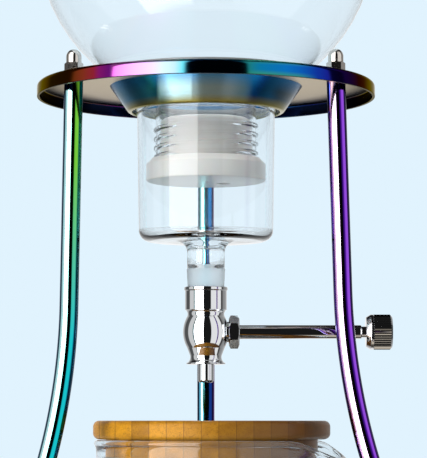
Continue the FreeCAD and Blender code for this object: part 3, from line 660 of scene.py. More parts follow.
@dataclass(frozen=True)
class RodSteel:
    """Polished steel bar with a rainbow PVD film, whose colour runs round the bar and shifts up it, with
    painted highlights and painted dark reflections in it.
    """

    leg: Leg
    streaks: Streaks = Streaks(0.1, 12.0, Axis.Z, 0.02, 0.05)
    heights: Place = (160.0, 235.0)
    wander: float = 0.08
    roughness: float = 0.06

    def film(self) -> tuple[list, list]:
        """Colours of the film, with painted highlights and painted dark reflections, low on the bar and high
        on it, by the sideways part of the surface's direction.

        Returns:
            The stops for the lower part of the bar and for the upper part.
        """
        # Pale stops are painted highlights of the strip light, and the near-black stops about 0 are painted
        # dark reflections of the studio's front; the rest are the film's hues.
        left = [
            (-1.0, "#0A3A80"), (-0.84, "#1470A0"), (-0.77, "#9AD8E4"), (-0.56, "#CCF0F0"), (-0.5, "#A8DCE0"),
            (-0.05, "#88C0B8"), (0.04, "#0A2A28")]
        high = [(0.24, "#1E5A20"), (0.34, "#6CC03C"), (0.6, "#78C83C"), (0.7, "#0C7A50"), (1.0, "#1A6A58")]
        low = [(0.24, "#0A4A5A"), (0.34, "#18BCC4"), (0.6, "#18C0C8"), (0.7, "#0A5A78"), (1.0, "#0A3A60")]
        right = [
            (-1.0, "#2A0868"), (-0.84, "#3A0A80"), (-0.77, "#8A40B0"), (-0.72, "#F0B8F4"), (-0.56, "#FAD8FA"),
            (-0.5, "#C8B0D0"), (-0.05, "#C8B0D0"), (0.04, "#1A0830"), (0.26, "#2A0A60"), (0.36, "#4A1890"),
            (0.44, "#8A44D0"), (0.66, "#9450DC"), (0.76, "#4A1C98"), (0.84, "#180C58"), (1.0, "#0C0830")]
        below = [
            (-1.0, "#0A2458"), (-0.84, "#0C3C80"), (-0.76, "#48B0D8"), (-0.56, "#A0E4F0"), (-0.4, "#70C4D8"),
            (-0.2, "#3A98A8"), (-0.1, "#0A2A48"), (0.24, "#0A2450"), (0.4, "#143C88"), (0.62, "#12307A"),
            (0.78, "#221060"), (0.88, "#5A2080"), (1.0, "#7A2A90")]
        above = [
            (-1.0, "#1470A8"), (-0.84, "#40B0C8"), (-0.76, "#98E0E4"), (-0.3, "#A8E8E8"), (-0.15, "#58B0B8"),
            (0.0, "#0A5058"), (0.24, "#0E6C98"), (0.36, "#1884C4"), (0.62, "#187CC4"), (0.78, "#1C50A0"),
            (0.88, "#5A2080"), (1.0, "#7A2A90")]
        return {
            Leg.LEFT: (left + low, left + high), Leg.RIGHT: (right, right), Leg.REAR: (below, above)}[self.leg]

    def make(self) -> bpy.types.Material:
        """Builds the material.

        Returns:
            The material.
        """
        material, tree = clear_material(f"pvd_steel_bar_painted_reflections_{self.leg.value}")
        marks, normal = self.streaks.draw_on(tree)
        coords = add(tree, "TexCoord")
        # Colour by which way the bar faces sideways paints its highlight and dark reflection stripes into the
        # film.
        facing = add(tree, "SeparateXYZ", {0: coords.outputs["Normal"]}).outputs[0]
        wander = add(tree, "TexNoise", {"Vector": coords.outputs["Object"], "Scale": 18.0, "Detail": 1.0})
        shifted = add(tree, "Math", {0: wander, 1: self.wander, 2: facing}, operation="MULTIPLY_ADD")
        middle = self.wander / 2
        across = add(tree, "MapRange", {"Value": shifted, "From Min": middle - 1, "From Max": middle + 1})
        low, high = (add(tree, "ValToRGB", {0: across}, [((way + 1) / 2, hue) for way, hue in stops])
                     for stops in self.film())
        z = add(tree, "SeparateXYZ", {0: coords.outputs["Object"]}).outputs[2]
        begin, end = self.heights
        up = add(tree, "MapRange", {"Value": z, "From Min": begin * MM, "From Max": end * MM})
        film = add(tree, "Mix", {0: up, 6: low, 7: high}, data_type="RGBA")
        worn = add(tree, "Math", {
            0: marks, 1: self.streaks.uneven, 2: self.roughness}, operation="MULTIPLY_ADD")
        shade(tree, {"Base Color": film, "Metallic": 1.0, "Roughness": worn, "Normal": normal})
        return material


@dataclass(frozen=True)
class SatinFunnelSteel:
    """Lathe-brushed stainless cone with a blue PVD film, gone gold at its lower edge.

    The brushing runs round the cone and spreads each reflection into a soft upright band. A pale band from
    -19.5 to -6.5 mm across X is painted into its colour as well, a painted reflection of the strip light.
    """

    # From -19.5 to -6.5 mm the colour is painted pale: a painted reflection of the strip light, on top of the
    # film's own blue.
    film: tuple = (
        (-42.0, "#5A7078"), (-38.0, "#2A7088"), (-33.0, "#1A6C90"), (-27.0, "#2A8098"), (-24.0, "#2E8090"),
        (-21.0, "#1A5A74"), (-19.5, "#A4CCD8"), (-6.5, "#A8CCD4"), (-5.5, "#7E9498"), (10.0, "#7C9098"),
        (16.0, "#5A7C88"), (20.0, "#0E5480"), (27.0, "#145C84"), (31.0, "#1C4458"), (38.0, "#3A5058"),
        (42.0, "#8A8A78"))
    edge: str = "#8A8240"
    upper: str = "#1478B4"
    reach: float = 42.0
    edge_z: Place = (261.6, 264.6)
    upper_z: Place = (267.2, 271.6)
    upper_share: float = 0.7
    ring_gap: float = 0.15

    def make(self) -> bpy.types.Material:
        """Builds the material.

        Returns:
            The material.
        """
        material, tree = clear_material("satin_pvd_steel")
        place_of = add(tree, "TexCoord").outputs["Object"]
        parts = add(tree, "SeparateXYZ", {0: place_of})
        across = add(tree, "MapRange", {
            "Value": parts.outputs[0], "From Min": -self.reach * MM, "From Max": self.reach * MM})
        stops = [((x + self.reach) / (2 * self.reach), hue) for x, hue in self.film]
        film = add(tree, "ValToRGB", {0: across}, stops)
        low, high = self.edge_z
        near_edge = add(tree, "MapRange", {
            "Value": parts.outputs[2], "From Min": high * MM, "From Max": low * MM})
        begin, end = self.upper_z
        near_top = add(tree, "MapRange", {
            "Value": parts.outputs[2], "From Min": begin * MM, "From Max": end * MM,
            "To Max": self.upper_share})
        blued = add(tree, "Mix", {0: near_top, 6: film, 7: self.upper}, data_type="RGBA")
        colour = add(tree, "Mix", {0: near_edge, 6: blued, 7: self.edge}, data_type="RGBA")
        # Turning marks are rings, so they follow the height and hardly change round the cone.
        rings = add(tree, "Mapping", {"Vector": place_of, "Scale": (8.0, 8.0, 1 / (self.ring_gap * MM))})
        marks = add(tree, "TexNoise", {"Vector": rings, "Scale": 1.0, "Detail": 2.0})
        rough = add(tree, "MapRange", {"Value": marks, "To Min": 0.2, "To Max": 0.28})
        bump = add(tree, "Bump", {"Strength": 0.1, "Distance": 0.02 * MM, "Height": marks})
        round_it = add(tree, "Tangent", direction_type="RADIAL", axis="Z")
        shade(tree, {
            "Base Color": colour, "Metallic": 1.0, "Roughness": rough, "Anisotropic": 0.9,
            "Anisotropic Rotation": 0.25, "Tangent": round_it, "Normal": bump})
        return material


@dataclass(frozen=True)
class PolishedSteel:
    """Cold-formed stainless nut, barrel polished: warm, nearly a mirror, with faint scuffs."""

    colour: str = "#CFC9C2"
    roughness: float = 0.08
    streaks: Streaks = Streaks(0.25, 0.6, Axis.Z, 0.05, 0.1)
    name: str = "polished_stainless_steel"
    scuffed: str = "#8E8A85"

    def make(self) -> bpy.types.Material:
        """Builds the material.

        Returns:
            The material.
        """
        material, tree = clear_material(self.name)
        marks, normal = self.streaks.draw_on(tree)
        rough = add(tree, "Math", {
            0: marks, 1: self.streaks.uneven, 2: self.roughness}, operation="MULTIPLY_ADD")
        tone = add(tree, "MapRange", {"Value": marks, "To Min": 0.9, "To Max": 1.0})
        colour = add(tree, "Mix", {0: tone, 6: self.scuffed, 7: self.colour}, data_type="RGBA")
        shade(tree, {"Base Color": colour, "Metallic": 1.0, "Roughness": rough, "Normal": normal})
        return material


class ChromePlate(PolishedSteel):
    """Bright chrome on brass: a clear, slightly cool mirror with hardly a scuff."""

    def __init__(self) -> None:
        """Sets chrome's colour and gloss."""
        super().__init__("#DCDEE0", 0.02, Streaks(0.4, 0.8, Axis.Y, 0.015, 0.03), "bright_chrome_plate")


class BrushedSteel(PolishedSteel):
    """Drawn stainless steel, satin, with fine upright brush marks."""

    def __init__(self) -> None:
        """Sets satin steel's colour, gloss and brush marks."""
        super().__init__("#B9B7B3", 0.22, Streaks(0.12, 5.0, Axis.Z, 0.12, 0.12), "satin_stainless_steel")


@dataclass(frozen=True)
class BorosilicateGlass:
    """Clear blown borosilicate glass, faintly wavy; a ground joint, where there is one, is matt white."""

    name: str
    ground_below: float = 0.0
    ground_outside: float = 0.0
    ground_roughness: float = 0.55
    grit: float = 0.1
    ior: float = 1.473

    def make(self) -> bpy.types.Material:
        """Builds the material.

        Returns:
            The material.
        """
        material, tree = clear_material(f"borosilicate_glass_{self.name}")
        place_of = add(tree, "TexCoord").outputs["Object"]
        # The blown wall's thickness wanders over 15 mm or so.
        waves = add(tree, "TexNoise", {"Vector": place_of, "Scale": 65.0, "Detail": 0.0})
        if self.ground_below:
            parts = add(tree, "SeparateXYZ", {0: place_of})
            flat = add(tree, "CombineXYZ", {0: parts.outputs[0], 1: parts.outputs[1]})
            out = add(tree, "VectorMath", {0: flat}, operation="LENGTH")
            outside = add(tree, "Math", {0: out, 1: self.ground_outside * MM}, operation="GREATER_THAN")
            below = add(tree, "Math", {0: parts.outputs[2], 1: self.ground_below * MM}, operation="LESS_THAN")
            ground = add(tree, "Math", {0: outside, 1: below}, operation="MULTIPLY")
            grit = add(tree, "TexNoise", {"Vector": place_of, "Scale": 1 / (self.grit * MM), "Detail": 1.0})
            height = add(tree, "Mix", {0: ground, 2: waves, 3: grit}, data_type="FLOAT")
            rough = add(tree, "MapRange", {"Value": ground, "To Max": self.ground_roughness})
        else:
            height, rough = waves, 0.0
        bump = add(tree, "Bump", {"Strength": 0.1, "Distance": 0.1 * MM, "Height": height})
        shade(tree, {
            "Base Color": "#FFFFFF", "Roughness": rough, "IOR": self.ior, "Transmission Weight": 1.0,
            "Normal": bump})
        return material


@dataclass(frozen=True)
class SoftSkin:
    """Moulded or turned non-metal with a fine grain: plastic, rubber, silicone or PTFE."""

    name: str
    colour: str
    shadow: str
    roughness: float
    ior: float
    grain: float
    depth: float
    clear: float = 0.0
    glow: float = 0.0
    uneven: float = 0.04

    def make(self) -> bpy.types.Material:
        """Builds the material.

        Returns:
            The material.
        """
        material, tree = clear_material(self.name)
        place_of = add(tree, "TexCoord").outputs["Object"]
        grain = add(tree, "TexNoise", {"Vector": place_of, "Scale": 1 / (self.grain * MM), "Detail": 2.0})
        cloud = add(tree, "TexNoise", {"Vector": place_of, "Scale": 60.0, "Detail": 1.0})
        colour = add(tree, "Mix", {0: cloud, 6: self.shadow, 7: self.colour}, data_type="RGBA")
        rough = add(tree, "MapRange", {
            "Value": grain, "To Min": self.roughness - self.uneven, "To Max": self.roughness + self.uneven})
        bump = add(tree, "Bump", {"Strength": self.depth, "Distance": 0.05 * MM, "Height": grain})
        shade(tree, {
            "Base Color": colour, "Roughness": rough, "IOR": self.ior, "Transmission Weight": self.clear,
            "Subsurface Weight": self.glow, "Subsurface Scale": 1.5 * MM, "Normal": bump})
        return material


class Polypropylene(SoftSkin):
    """White moulded polypropylene: softly glossy and a little translucent, with a fine moulded grain."""

    def __init__(self) -> None:
        """Sets white polypropylene's look."""
        super().__init__("white_polypropylene", "#E6E4E0", "#DAD6CE", 0.3, 1.49, 0.35, 0.08, glow=0.15)


class Silicone(SoftSkin):
    """Translucent silicone rubber: milky, half clear and satin."""

    def __init__(self) -> None:
        """Sets silicone's look."""
        super().__init__("clear_silicone", "#E4E8EA", "#D2D8DC", 0.35, 1.41, 0.4, 0.08, clear=0.6)


class Rubber(SoftSkin):
    """Moulded black nitrile rubber: matt, with a dusty grain."""

    def __init__(self) -> None:
        """Sets rubber's look."""
        super().__init__("black_rubber", "#262626", "#161616", 0.72, 1.52, 0.3, 0.3)


class Ptfe(SoftSkin):
    """Turned PTFE: waxy white."""

    def __init__(self) -> None:
        """Sets PTFE's look."""
        super().__init__("turned_ptfe", "#EEEEEC", "#E2E2DE", 0.45, 1.36, 0.2, 0.1, glow=0.1)


@dataclass(frozen=True)
class LaminatedBamboo:
    """Bamboo strips glued side by side, turned and oiled.

    The glue lines show as thin darker lines every 7.2 mm, each strip has its own tone, long fibres streak
    the faces, and the turned edge shows their cut ends as fine dark specks under a satin oil. The strips also
    darken steadily towards +X, which is painted shade.
    """

    strip: float = 7.2
    first_line: float = 1.9
    spare_strips: int = 100
    # How dark each strip is, listed from the outermost strip on the -X side: the first five are the strips'
    # own tones, and the steady darkening towards +X after them is painted shade.
    strip_tone_and_shade: tuple = (0.22, 0.05, 0.0, 0.39, 0.0, 0.12, 0.22, 0.31, 0.49, 0.63, 0.75, 0.84, 0.93, 1.0)
    light: str = "#DC981E"
    dark: str = "#5A3A14"
    shaded: str = "#7A4A0C"
    fibre: str = "#6A3E10"
    glue: str = "#5A340C"
    # Where a glue line begins and is full, in widths of a strip from the strip's middle.
    line_edges: Place = (0.465, 0.495)
    line_share: float = 0.7
    bundle: float = 0.4
    speck_share: float = 0.55
    shaded_share: float = 0.35

    def make(self) -> bpy.types.Material:
        """Builds the material.

        Returns:
            The material.
        """
        material, tree = clear_material("laminated_bamboo")
        place_of = add(tree, "TexCoord").outputs["Object"]
        x = add(tree, "SeparateXYZ", {0: place_of}).outputs[0]
        # Spare strips keep the count above nought on both sides of the middle.
        strips = add(tree, "Math", {
            0: x, 1: 1 / (self.strip * MM), 2: self.spare_strips + self.first_line / self.strip},
            operation="MULTIPLY_ADD")
        number = add(tree, "Math", {0: strips}, operation="FLOOR")
        count = len(self.strip_tone_and_shade)
        middle = self.spare_strips - 0.5
        along = add(tree, "MapRange", {
            "Value": number, "From Min": middle - count / 2, "From Max": middle + count / 2})
        # The strips' steady darkening towards +X is painted shade; the first few levels are their own tones.
        stops = [(i / count, level) for i, level in enumerate(self.strip_tone_and_shade)]
        strip_tone_and_shade = add(tree, "ValToRGB", {0: along}, stops)
        strip_tone_and_shade.color_ramp.interpolation = "CONSTANT"
        tone = add(tree, "Mix", {0: strip_tone_and_shade, 6: self.light, 7: self.dark}, data_type="RGBA")
        within = add(tree, "Math", {0: strips}, operation="FRACT")
        from_line = add(tree, "Math", {0: within, 1: 0.5}, operation="SUBTRACT")
        edge = add(tree, "Math", {0: from_line}, operation="ABSOLUTE")
        begin, full = self.line_edges
        glue = add(tree, "MapRange", {"Value": edge, "From Min": begin, "From Max": full})
        # Vascular bundles run along Y, so the front edge shows them end on.
        across = 1 / (self.bundle * MM)
        bundles = add(tree, "Mapping", {"Vector": place_of, "Scale": (across, 90, across)})
        fibres = add(tree, "TexNoise", {"Vector": bundles, "Scale": 1.0, "Detail": 1.5})
        specks = add(tree, "MapRange", {"Value": fibres, "From Min": 0.52, "From Max": 0.72})
        slow = add(tree, "Mapping", {"Vector": place_of, "Scale": (300, 12, 300)})
        drift = add(tree, "TexNoise", {"Vector": slow, "Scale": 1.0, "Detail": 2.0})
        share = add(tree, "MapRange", {
            "Value": drift, "From Min": 0.35, "From Max": 0.65, "To Min": self.shaded_share, "To Max": 0.0})
        base = add(tree, "Mix", {0: share, 6: tone, 7: self.shaded}, data_type="RGBA")
        faint = add(tree, "Math", {0: specks, 1: self.speck_share}, operation="MULTIPLY")
        specked = add(tree, "Mix", {0: faint, 6: base, 7: self.fibre}, data_type="RGBA")
        line = add(tree, "Math", {0: glue, 1: self.line_share}, operation="MULTIPLY")
        colour = add(tree, "Mix", {0: line, 6: specked, 7: self.glue}, data_type="RGBA")
        rough = add(tree, "MapRange", {"Value": fibres, "To Min": 0.3, "To Max": 0.5})
        bump = add(tree, "Bump", {"Strength": 0.25, "Distance": 0.04 * MM, "Height": fibres})
        shade(tree, {
            "Base Color": colour, "Roughness": rough, "IOR": 1.5, "Specular IOR Level": 0.3,
            "Coat Weight": 0.05, "Coat Roughness": 0.2, "Normal": bump})
        return material


# ---------------------------------------------------------------- sub-assemblies

@dataclass
class Stand:
    """Ring plate with its funnel and seats, and three bent rods with nuts and rubber feet."""

    plate_top: float = 273.6
    plate_r: float = 73.6
    plate_rounds: Place = (2.0, 0.8)
    sheet: float = 1.2
    lip_depth: float = 6.2
    lip_round: float = 0.3
    hole_r: float = 2.15
    funnel_top_r: float = 41.9
    funnel_foot: Place = (33.9, 261.4)
    funnel_roll: tuple[Place, Place] = ((32.1, 262.3), (32.3, 260.9))
    roll_rounds: tuple[float, float, float] = (0.4, 0.5, 0.9)
    roll_start: float = 1.2
    flange_r: float = 47.0
    flange_thick: float = 1.0
    flange_round: float = 0.4
    seat_span: Place = (2.2, 6.4)
    seat_thick: float = 1.5
    seat_round: float = 0.5
    globe_seat_r: tuple[float, ...] = (42.4, 43.5, 44.6, 45.8, 46.3)
    globe_z: float = 338.0
    cradle_r: float = 74.3
    rod_r: float = 4.0
    rod_radius: float = 63.4
    # Each leg's angle round the axis, its lean at the top and the height where its bend starts.
    legs: dict[Leg, tuple[float, float, float]] = field(default_factory=lambda: {
        Leg.LEFT: (208.0, 1.0, 176.0), Leg.RIGHT: (330.0, 1.8, 181.0), Leg.REAR: (90.0, 1.8, 181.0)})
    lean_foot: float = 19.0
    bend_r: float = 250.0
    rod_end: float = 4.5
    tapped_r: float = 2.05
    tapped_depth: float = 10.0
    foot_r: Place = (7.4, 5.7)
    foot_height: float = 15.0
    nut_flats: float = 7.0
    nut_hex: float = 4.8
    nut_dome_r: float = 3.25
    nut_height: float = 10.6
    nut_bore: float = 8.4

    def build(self) -> None:
        """Models and dresses the stand."""
        silicone, rubber, polished = Silicone().make(), Rubber().make(), PolishedSteel().make()
        place(self.ring_plate(), "stand", "rainbow_steel", RainbowSteel().make(), "support_ring")
        place(self.funnel(), "stand", "satin_blue_steel", SatinFunnelSteel().make(), "funnel_collar")
        place(self.chamber_seat(), "stand", "clear_silicone", silicone, "chamber_seat_ring")
        place(self.globe_seat(), "stand", "clear_silicone", silicone, "globe_seat_ring")
        nut = self.acorn_nut()
        for leg, (angle, *bend) in self.legs.items():
            for piece, kind, slot, finish, node in (
                    (self.rod(*bend), "rod", "rainbow_steel", RodSteel(leg).make(), f"leg_{leg.value}"),
                    (self.foot(*bend), "foot", "black_rubber", rubber, "rubber_feet"),
                    (copy_of(nut), "acorn_nut", "polished_stainless", polished, "acorn_nuts")):
                place(swing(piece, f"{kind}_{leg.value}", angle), "stand", slot, finish, node)
        bpy.data.objects.remove(nut)
        dress("leg_studs", BrushedSteel().make())

    def ring_plate(self) -> Mesh:
        """Flat ring with a turned-down lip and a hole over each rod.

        Returns:
            The plate.
        """
        under, lip = self.plate_top - self.sheet, self.plate_top - self.lip_depth
        inner_lip_r, (outer_round, inner_round) = self.plate_r - self.sheet, self.plate_rounds
        plate = turn("ring_plate", [
            (self.funnel_top_r, under), (self.funnel_top_r, self.plate_top),
            (self.plate_r, self.plate_top, outer_round), (self.plate_r, lip, self.lip_round),
            (inner_lip_r, lip, self.lip_round), (inner_lip_r, under, inner_round)], steps=192)
        for angle, *_ in self.legs.values():
            x, y = polar(self.rod_radius, angle)
            combine(plate, drill(self.hole_r, under - 1, self.plate_top + 1, x, y), Shape.CUT)
        return soften(plate)

    def on_slope(self, up: float, inward: float) -> Place:
        """Place a distance up the funnel's outer wall and a distance inward from it.

        Args:
            up: distance up the outer wall.
            inward: distance from it towards the axis.

        Returns:
            The place, radius and height.
        """
        r, z = self.funnel_foot
        along = Vector((self.funnel_top_r - r, self.plate_top - self.sheet - z)).normalized()
        return r + along.x * up - along.y * inward, z + along.y * up + along.x * inward

    def funnel(self) -> Mesh:
        """Cone with a flange over the plate and a rolled-in lower edge.

        Returns:
            The funnel.
        """
        flange_top = self.plate_top + self.flange_thick
        under = self.plate_top - self.sheet
        foot, mouth = self.on_slope(0, self.sheet), self.on_slope(1, self.sheet)
        up = (flange_top - foot[1]) / (mouth[1] - foot[1])
        (over, below), (over_round, below_round, foot_round) = self.funnel_roll, self.roll_rounds
        return soften(turn("funnel", [
            (self.flange_r, self.plate_top), (self.flange_r, flange_top, self.flange_round),
            self.on_slope(up, self.sheet), self.on_slope(self.roll_start, self.sheet), over + (over_round,),
            below + (below_round,), self.funnel_foot + (foot_round,), (self.funnel_top_r, under),
            (self.funnel_top_r, self.plate_top)], steps=192))

    def chamber_seat(self) -> Mesh:
        """Silicone band on the funnel's inner wall, under the drip chamber's rim.

        Returns:
            The band.
        """
        low, high = self.seat_span
        face = self.sheet + self.seat_thick
        return soften(turn("chamber_seat", [
            self.on_slope(low, self.sheet), self.on_slope(high, self.sheet),
            self.on_slope(high, face) + (self.seat_round,), self.on_slope(low, face) + (self.seat_round,)]))

    def globe_seat(self) -> Mesh:
        """Silicone wedge on the flange, hollowed to the globe's curve.

        Returns:
            The wedge.
        """
        flange_top = self.plate_top + self.flange_thick
        inner, middle, edge, top_r, foot_r = self.globe_seat_r
        rest = {r: self.globe_z - math.sqrt(self.cradle_r ** 2 - r ** 2) for r in (inner, middle, edge)}
        return soften(turn("globe_seat", [
            (inner, flange_top), (inner, rest[inner]), (middle, rest[middle], "via"), (edge, rest[edge]),
            (top_r, rest[edge], self.flange_round), (foot_r, flange_top)]))

    def rod(self, lean_top: float, bend_start: float) -> Mesh:
        """Bent rod in the XZ plane, with a flat top and a tapped hole for its stud.

        Args:
            lean_top: its lean at the top in degrees.
            bend_start: the height where its bend starts.

        Returns:
            The rod.
        """
        under, spare = self.plate_top - self.sheet, 3.0
        upper, lower = (Vector((math.sin(math.radians(lean)), 0, -math.cos(math.radians(lean))))
                        for lean in (lean_top, self.lean_foot))
        start = Vector((self.rod_radius, 0, under)) + upper * ((under - bend_start) / -upper.z)
        top = start - upper * ((under - bend_start + spare) / -upper.z)
        centre = start + Vector((-upper.z, 0, upper.x)) * self.bend_r
        bend_end = centre - Vector((-lower.z, 0, lower.x)) * self.bend_r
        end = bend_end + lower * ((bend_end.z - self.rod_end) / -lower.z)
        deselect()
        bpy.ops.mesh.primitive_circle_add(
            vertices=48, radius=self.rod_r * MM, fill_type="NGON", location=top * MM,
            rotation=(0, -math.radians(lean_top), 0))
        rod = settle(bpy.context.object)
        rod.name = "rod"
        edit(rod, "FACE")
        bpy.ops.mesh.select_all(action="SELECT")
        bpy.ops.mesh.extrude_region_move(TRANSFORM_OT_translate={"value": (start - top) * MM})
        bend = math.radians(self.lean_foot - lean_top)
        bpy.ops.mesh.spin(steps=24, angle=bend, center=centre * MM, axis=(0, 1, 0))
        bpy.ops.mesh.extrude_region_move(TRANSFORM_OT_translate={"value": (end - bend_end) * MM})
        close_up()
        slice_flat(rod, under, keep_above=False)
        combine(rod, drill(self.tapped_r, under - self.tapped_depth, under + 1, self.rod_radius), Shape.CUT)
        return soften(rod)

    def acorn_nut(self) -> Mesh:
        """Domed cap nut on the plate, over a rod's stud.

        Returns:
            The nut.
        """
        corner_r = self.nut_flats / math.sqrt(3)
        margin, bevel, dome_foot = 0.1, 0.5, 1.0
        face_r, edge_r = self.nut_flats / 2 - margin, corner_r + margin
        nut = prism(6, corner_r, 0, self.nut_hex, 30)
        combine(nut, turn("bevel", [
            (0, 0), (face_r, 0), (edge_r, bevel), (edge_r, self.nut_hex - bevel), (face_r, self.nut_hex),
            (0, self.nut_hex)]), Shape.COMMON)
        shoulder = self.nut_height - self.nut_dome_r
        lean = self.nut_dome_r * math.sqrt(0.5)
        combine(nut, turn("dome", [
            (0, dome_foot), (self.nut_dome_r, dome_foot), (self.nut_dome_r, shoulder),
            (lean, shoulder + lean, "via"), (0, self.nut_height)], steps=64), Shape.UNION)
        combine(nut, drill(self.tapped_r, -1, self.nut_bore), Shape.CUT)
        nut.location = Vector((self.rod_radius, 0, self.plate_top)) * MM
        return soften(settle(nut), 28)

    def foot(self, lean_top: float, bend_start: float) -> Mesh:
        """Rubber cap pushed on the end of a rod, by the rod's lean and bend, and ground flat on the floor.

        Args:
            lean_top: its rod's lean at the top in degrees.
            bend_start: the height where the bend starts.

        Returns:
            The foot.
        """
        low_r, high_r = self.foot_r
        lean = math.radians(self.lean_foot)
        length, sunk = self.foot_height / math.cos(lean), 8.0
        slope, edge, bore_r = (low_r - high_r) / (length + sunk), 0.4, self.rod_r + 0.02
        cap = turn("foot", [
            (0, -sunk), (low_r, -sunk), (high_r + slope * edge, length - edge),
            (high_r - edge / 2, length, 0.5), (bore_r, length), (bore_r, 0), (0, 0)], steps=64)
        upper = math.radians(lean_top)
        drop = self.plate_top - self.sheet - bend_start
        reach = self.rod_radius + math.tan(upper) * drop
        reach += self.bend_r * (math.cos(upper) - math.cos(lean))
        bend_end = bend_start - self.bend_r * (math.sin(lean) - math.sin(upper))
        reach += math.tan(lean) * (bend_end - self.rod_end)
        cap.rotation_euler.y = -lean
        cap.location = Vector((reach, 0, self.rod_end)) * MM
        slice_flat(settle(cap), 0, keep_above=True)
        return soften(cap)


@dataclass
class WaterGlobe:
    """Glass globe with a threaded neck, its strainer insert and its screw cap."""

    centre: float = 338.0
    radius: float = 74.0
    wall: float = 2.0
    flat_r: float = 20.0
    neck_r: float = 21.9
    bore_r: float = 20.6
    neck_end: float = 234.2
    neck_round: float = 0.5
    fillets: Place = (4.0, 5.6)
    insert_top: float = 258.3
    insert_step: float = 246.0
    insert_r: Place = (20.4, 19.9)
    insert_wall: float = 2.0
    insert_flange: Place = (21.85, 1.0)
    flange_round: float = 0.3
    crown_rounds: Place = (3.0, 1.5)
    middle_hole_r: float = 3.0
    ring_holes: tuple[int, float, float] = (6, 2.0, 11.0)
    cap_r: float = 26.0
    cap_bottom: float = 230.8
    cap_top: float = 240.8
    cap_bore_r: float = 23.15
    cap_floor: float = 1.4
    cap_chamfer: Place = (2.5, 2.7)
    drip_hole: tuple[float, float, float] = (0.9, 0, 0)
    air_hole: tuple[float, float, float] = (3.0, 7.7, 8.0)
    neck_thread: Thread = Thread(21.45, 22.8, 1.3, 0.45, 236.2, 255.7, 100.0)
    cap_thread: Thread = Thread(23.6, 22.3, 1.1, 0.45, 235.4, 239.4, 208.0)

    def build(self) -> None:
        """Models and dresses the globe, the insert and the cap."""
        plastic = Polypropylene().make()
        place(self.globe(), "globe", "clear_glass", BorosilicateGlass("globe").make(), "globe_glass")
        place(self.insert(), "globe", "white_plastic", plastic, "neck_insert")
        place(self.cap(), "cap", "white_plastic", plastic, "screw_cap")
        dress("cap_gasket", Silicone().make())

    def blend(self, sphere_r: float, neck_r: float, fillet: float) -> list[Place]:
        """Round between a sphere and the neck below it.

        Args:
            sphere_r: radius of the sphere.
            neck_r: radius of the neck.
            fillet: radius of the round.

        Returns:
            Its ends on the neck and on the sphere, with its middle between them.
        """
        drop = math.sqrt((sphere_r + fillet) ** 2 - (neck_r + fillet) ** 2)
        centre = Vector((neck_r + fillet, self.centre - drop))
        globe = Vector((0, self.centre))
        on_sphere = globe + (centre - globe).normalized() * sphere_r
        on_neck = Vector((neck_r, centre.y))
        middle = centre + ((on_sphere - centre) + (on_neck - centre)).normalized() * fillet
        return [tuple(point) for point in (on_neck, middle, on_sphere)]

    def globe(self) -> Mesh:
        """Globe with a small flat on top and a screw thread round its neck.

        Returns:
            The globe.
        """
        outer = self.blend(self.radius, self.neck_r, self.fillets[0])
        inner_r = self.radius - self.wall
        inner = self.blend(inner_r, self.bore_r, self.fillets[1])
        top = self.centre + math.sqrt(self.radius ** 2 - self.flat_r ** 2)
        flat_in_r = math.sqrt(inner_r ** 2 - (top - self.wall - self.centre) ** 2)
        glass = turn("globe", [
            (0, top - self.wall), (flat_in_r, top - self.wall), (inner_r, self.centre, "via"), inner[2],
            inner[1] + ("via",), inner[0], (self.bore_r, self.neck_end, self.neck_round),
            (self.neck_r, self.neck_end, self.neck_round), outer[0], outer[1] + ("via",), outer[2],
            (self.radius, self.centre, "via"), (self.flat_r, top), (0, top)], steps=144)
        combine(glass, self.neck_thread.model(), Shape.UNION)
        return soften(glass, 40)

    def insert(self) -> Mesh:
        """Strainer cup in the neck, with a flange on the neck's end and seven holes in its top.

        Returns:
            The insert.
        """
        flange_r, thick = self.insert_flange
        step_r, top_r = self.insert_r
        low, under = self.neck_end - thick, self.insert_top - self.insert_wall
        inner_r = step_r - self.insert_wall
        crown, hollow = self.crown_rounds
        count, hole_r, circle_r = self.ring_holes
        cup = turn("strainer_insert", [
            (0, self.insert_top), (top_r, self.insert_top, crown), (top_r, self.insert_step),
            (step_r, self.insert_step, 0.2), (step_r, self.neck_end),
            (flange_r, self.neck_end, self.flange_round), (flange_r, low, self.flange_round), (inner_r, low),
            (inner_r, under, hollow), (0, under)], steps=128)
        holes = [(self.middle_hole_r, (0, 0))]
        holes += [(hole_r, polar(circle_r, 360 / count * i)) for i in range(count)]
        for radius, (x, y) in holes:
            combine(cup, drill(radius, under - 1, self.insert_top + 1, x, y), Shape.CUT)
        return soften(cup)

    def cap(self) -> Mesh:
        """Screw cap with a chamfered top, a drip hole and an air hole.

        Returns:
            The cap.
        """
        floor = self.cap_bottom + self.cap_floor
        across, down = self.cap_chamfer
        cap = turn("cap", [
            (0, self.cap_bottom), (self.cap_r, self.cap_bottom, 0.8), (self.cap_r, self.cap_top - down, 0.4),
            (self.cap_r - across, self.cap_top, 0.1), (self.cap_bore_r, self.cap_top),
            (self.cap_bore_r, floor), (0, floor)], steps=144)
        combine(cap, self.cap_thread.model(), Shape.UNION)
        for radius, x, y in (self.drip_hole, self.air_hole):
            combine(cap, drill(radius, self.cap_bottom - 1, floor + 1, x, y), Shape.CUT)
        return soften(cap)


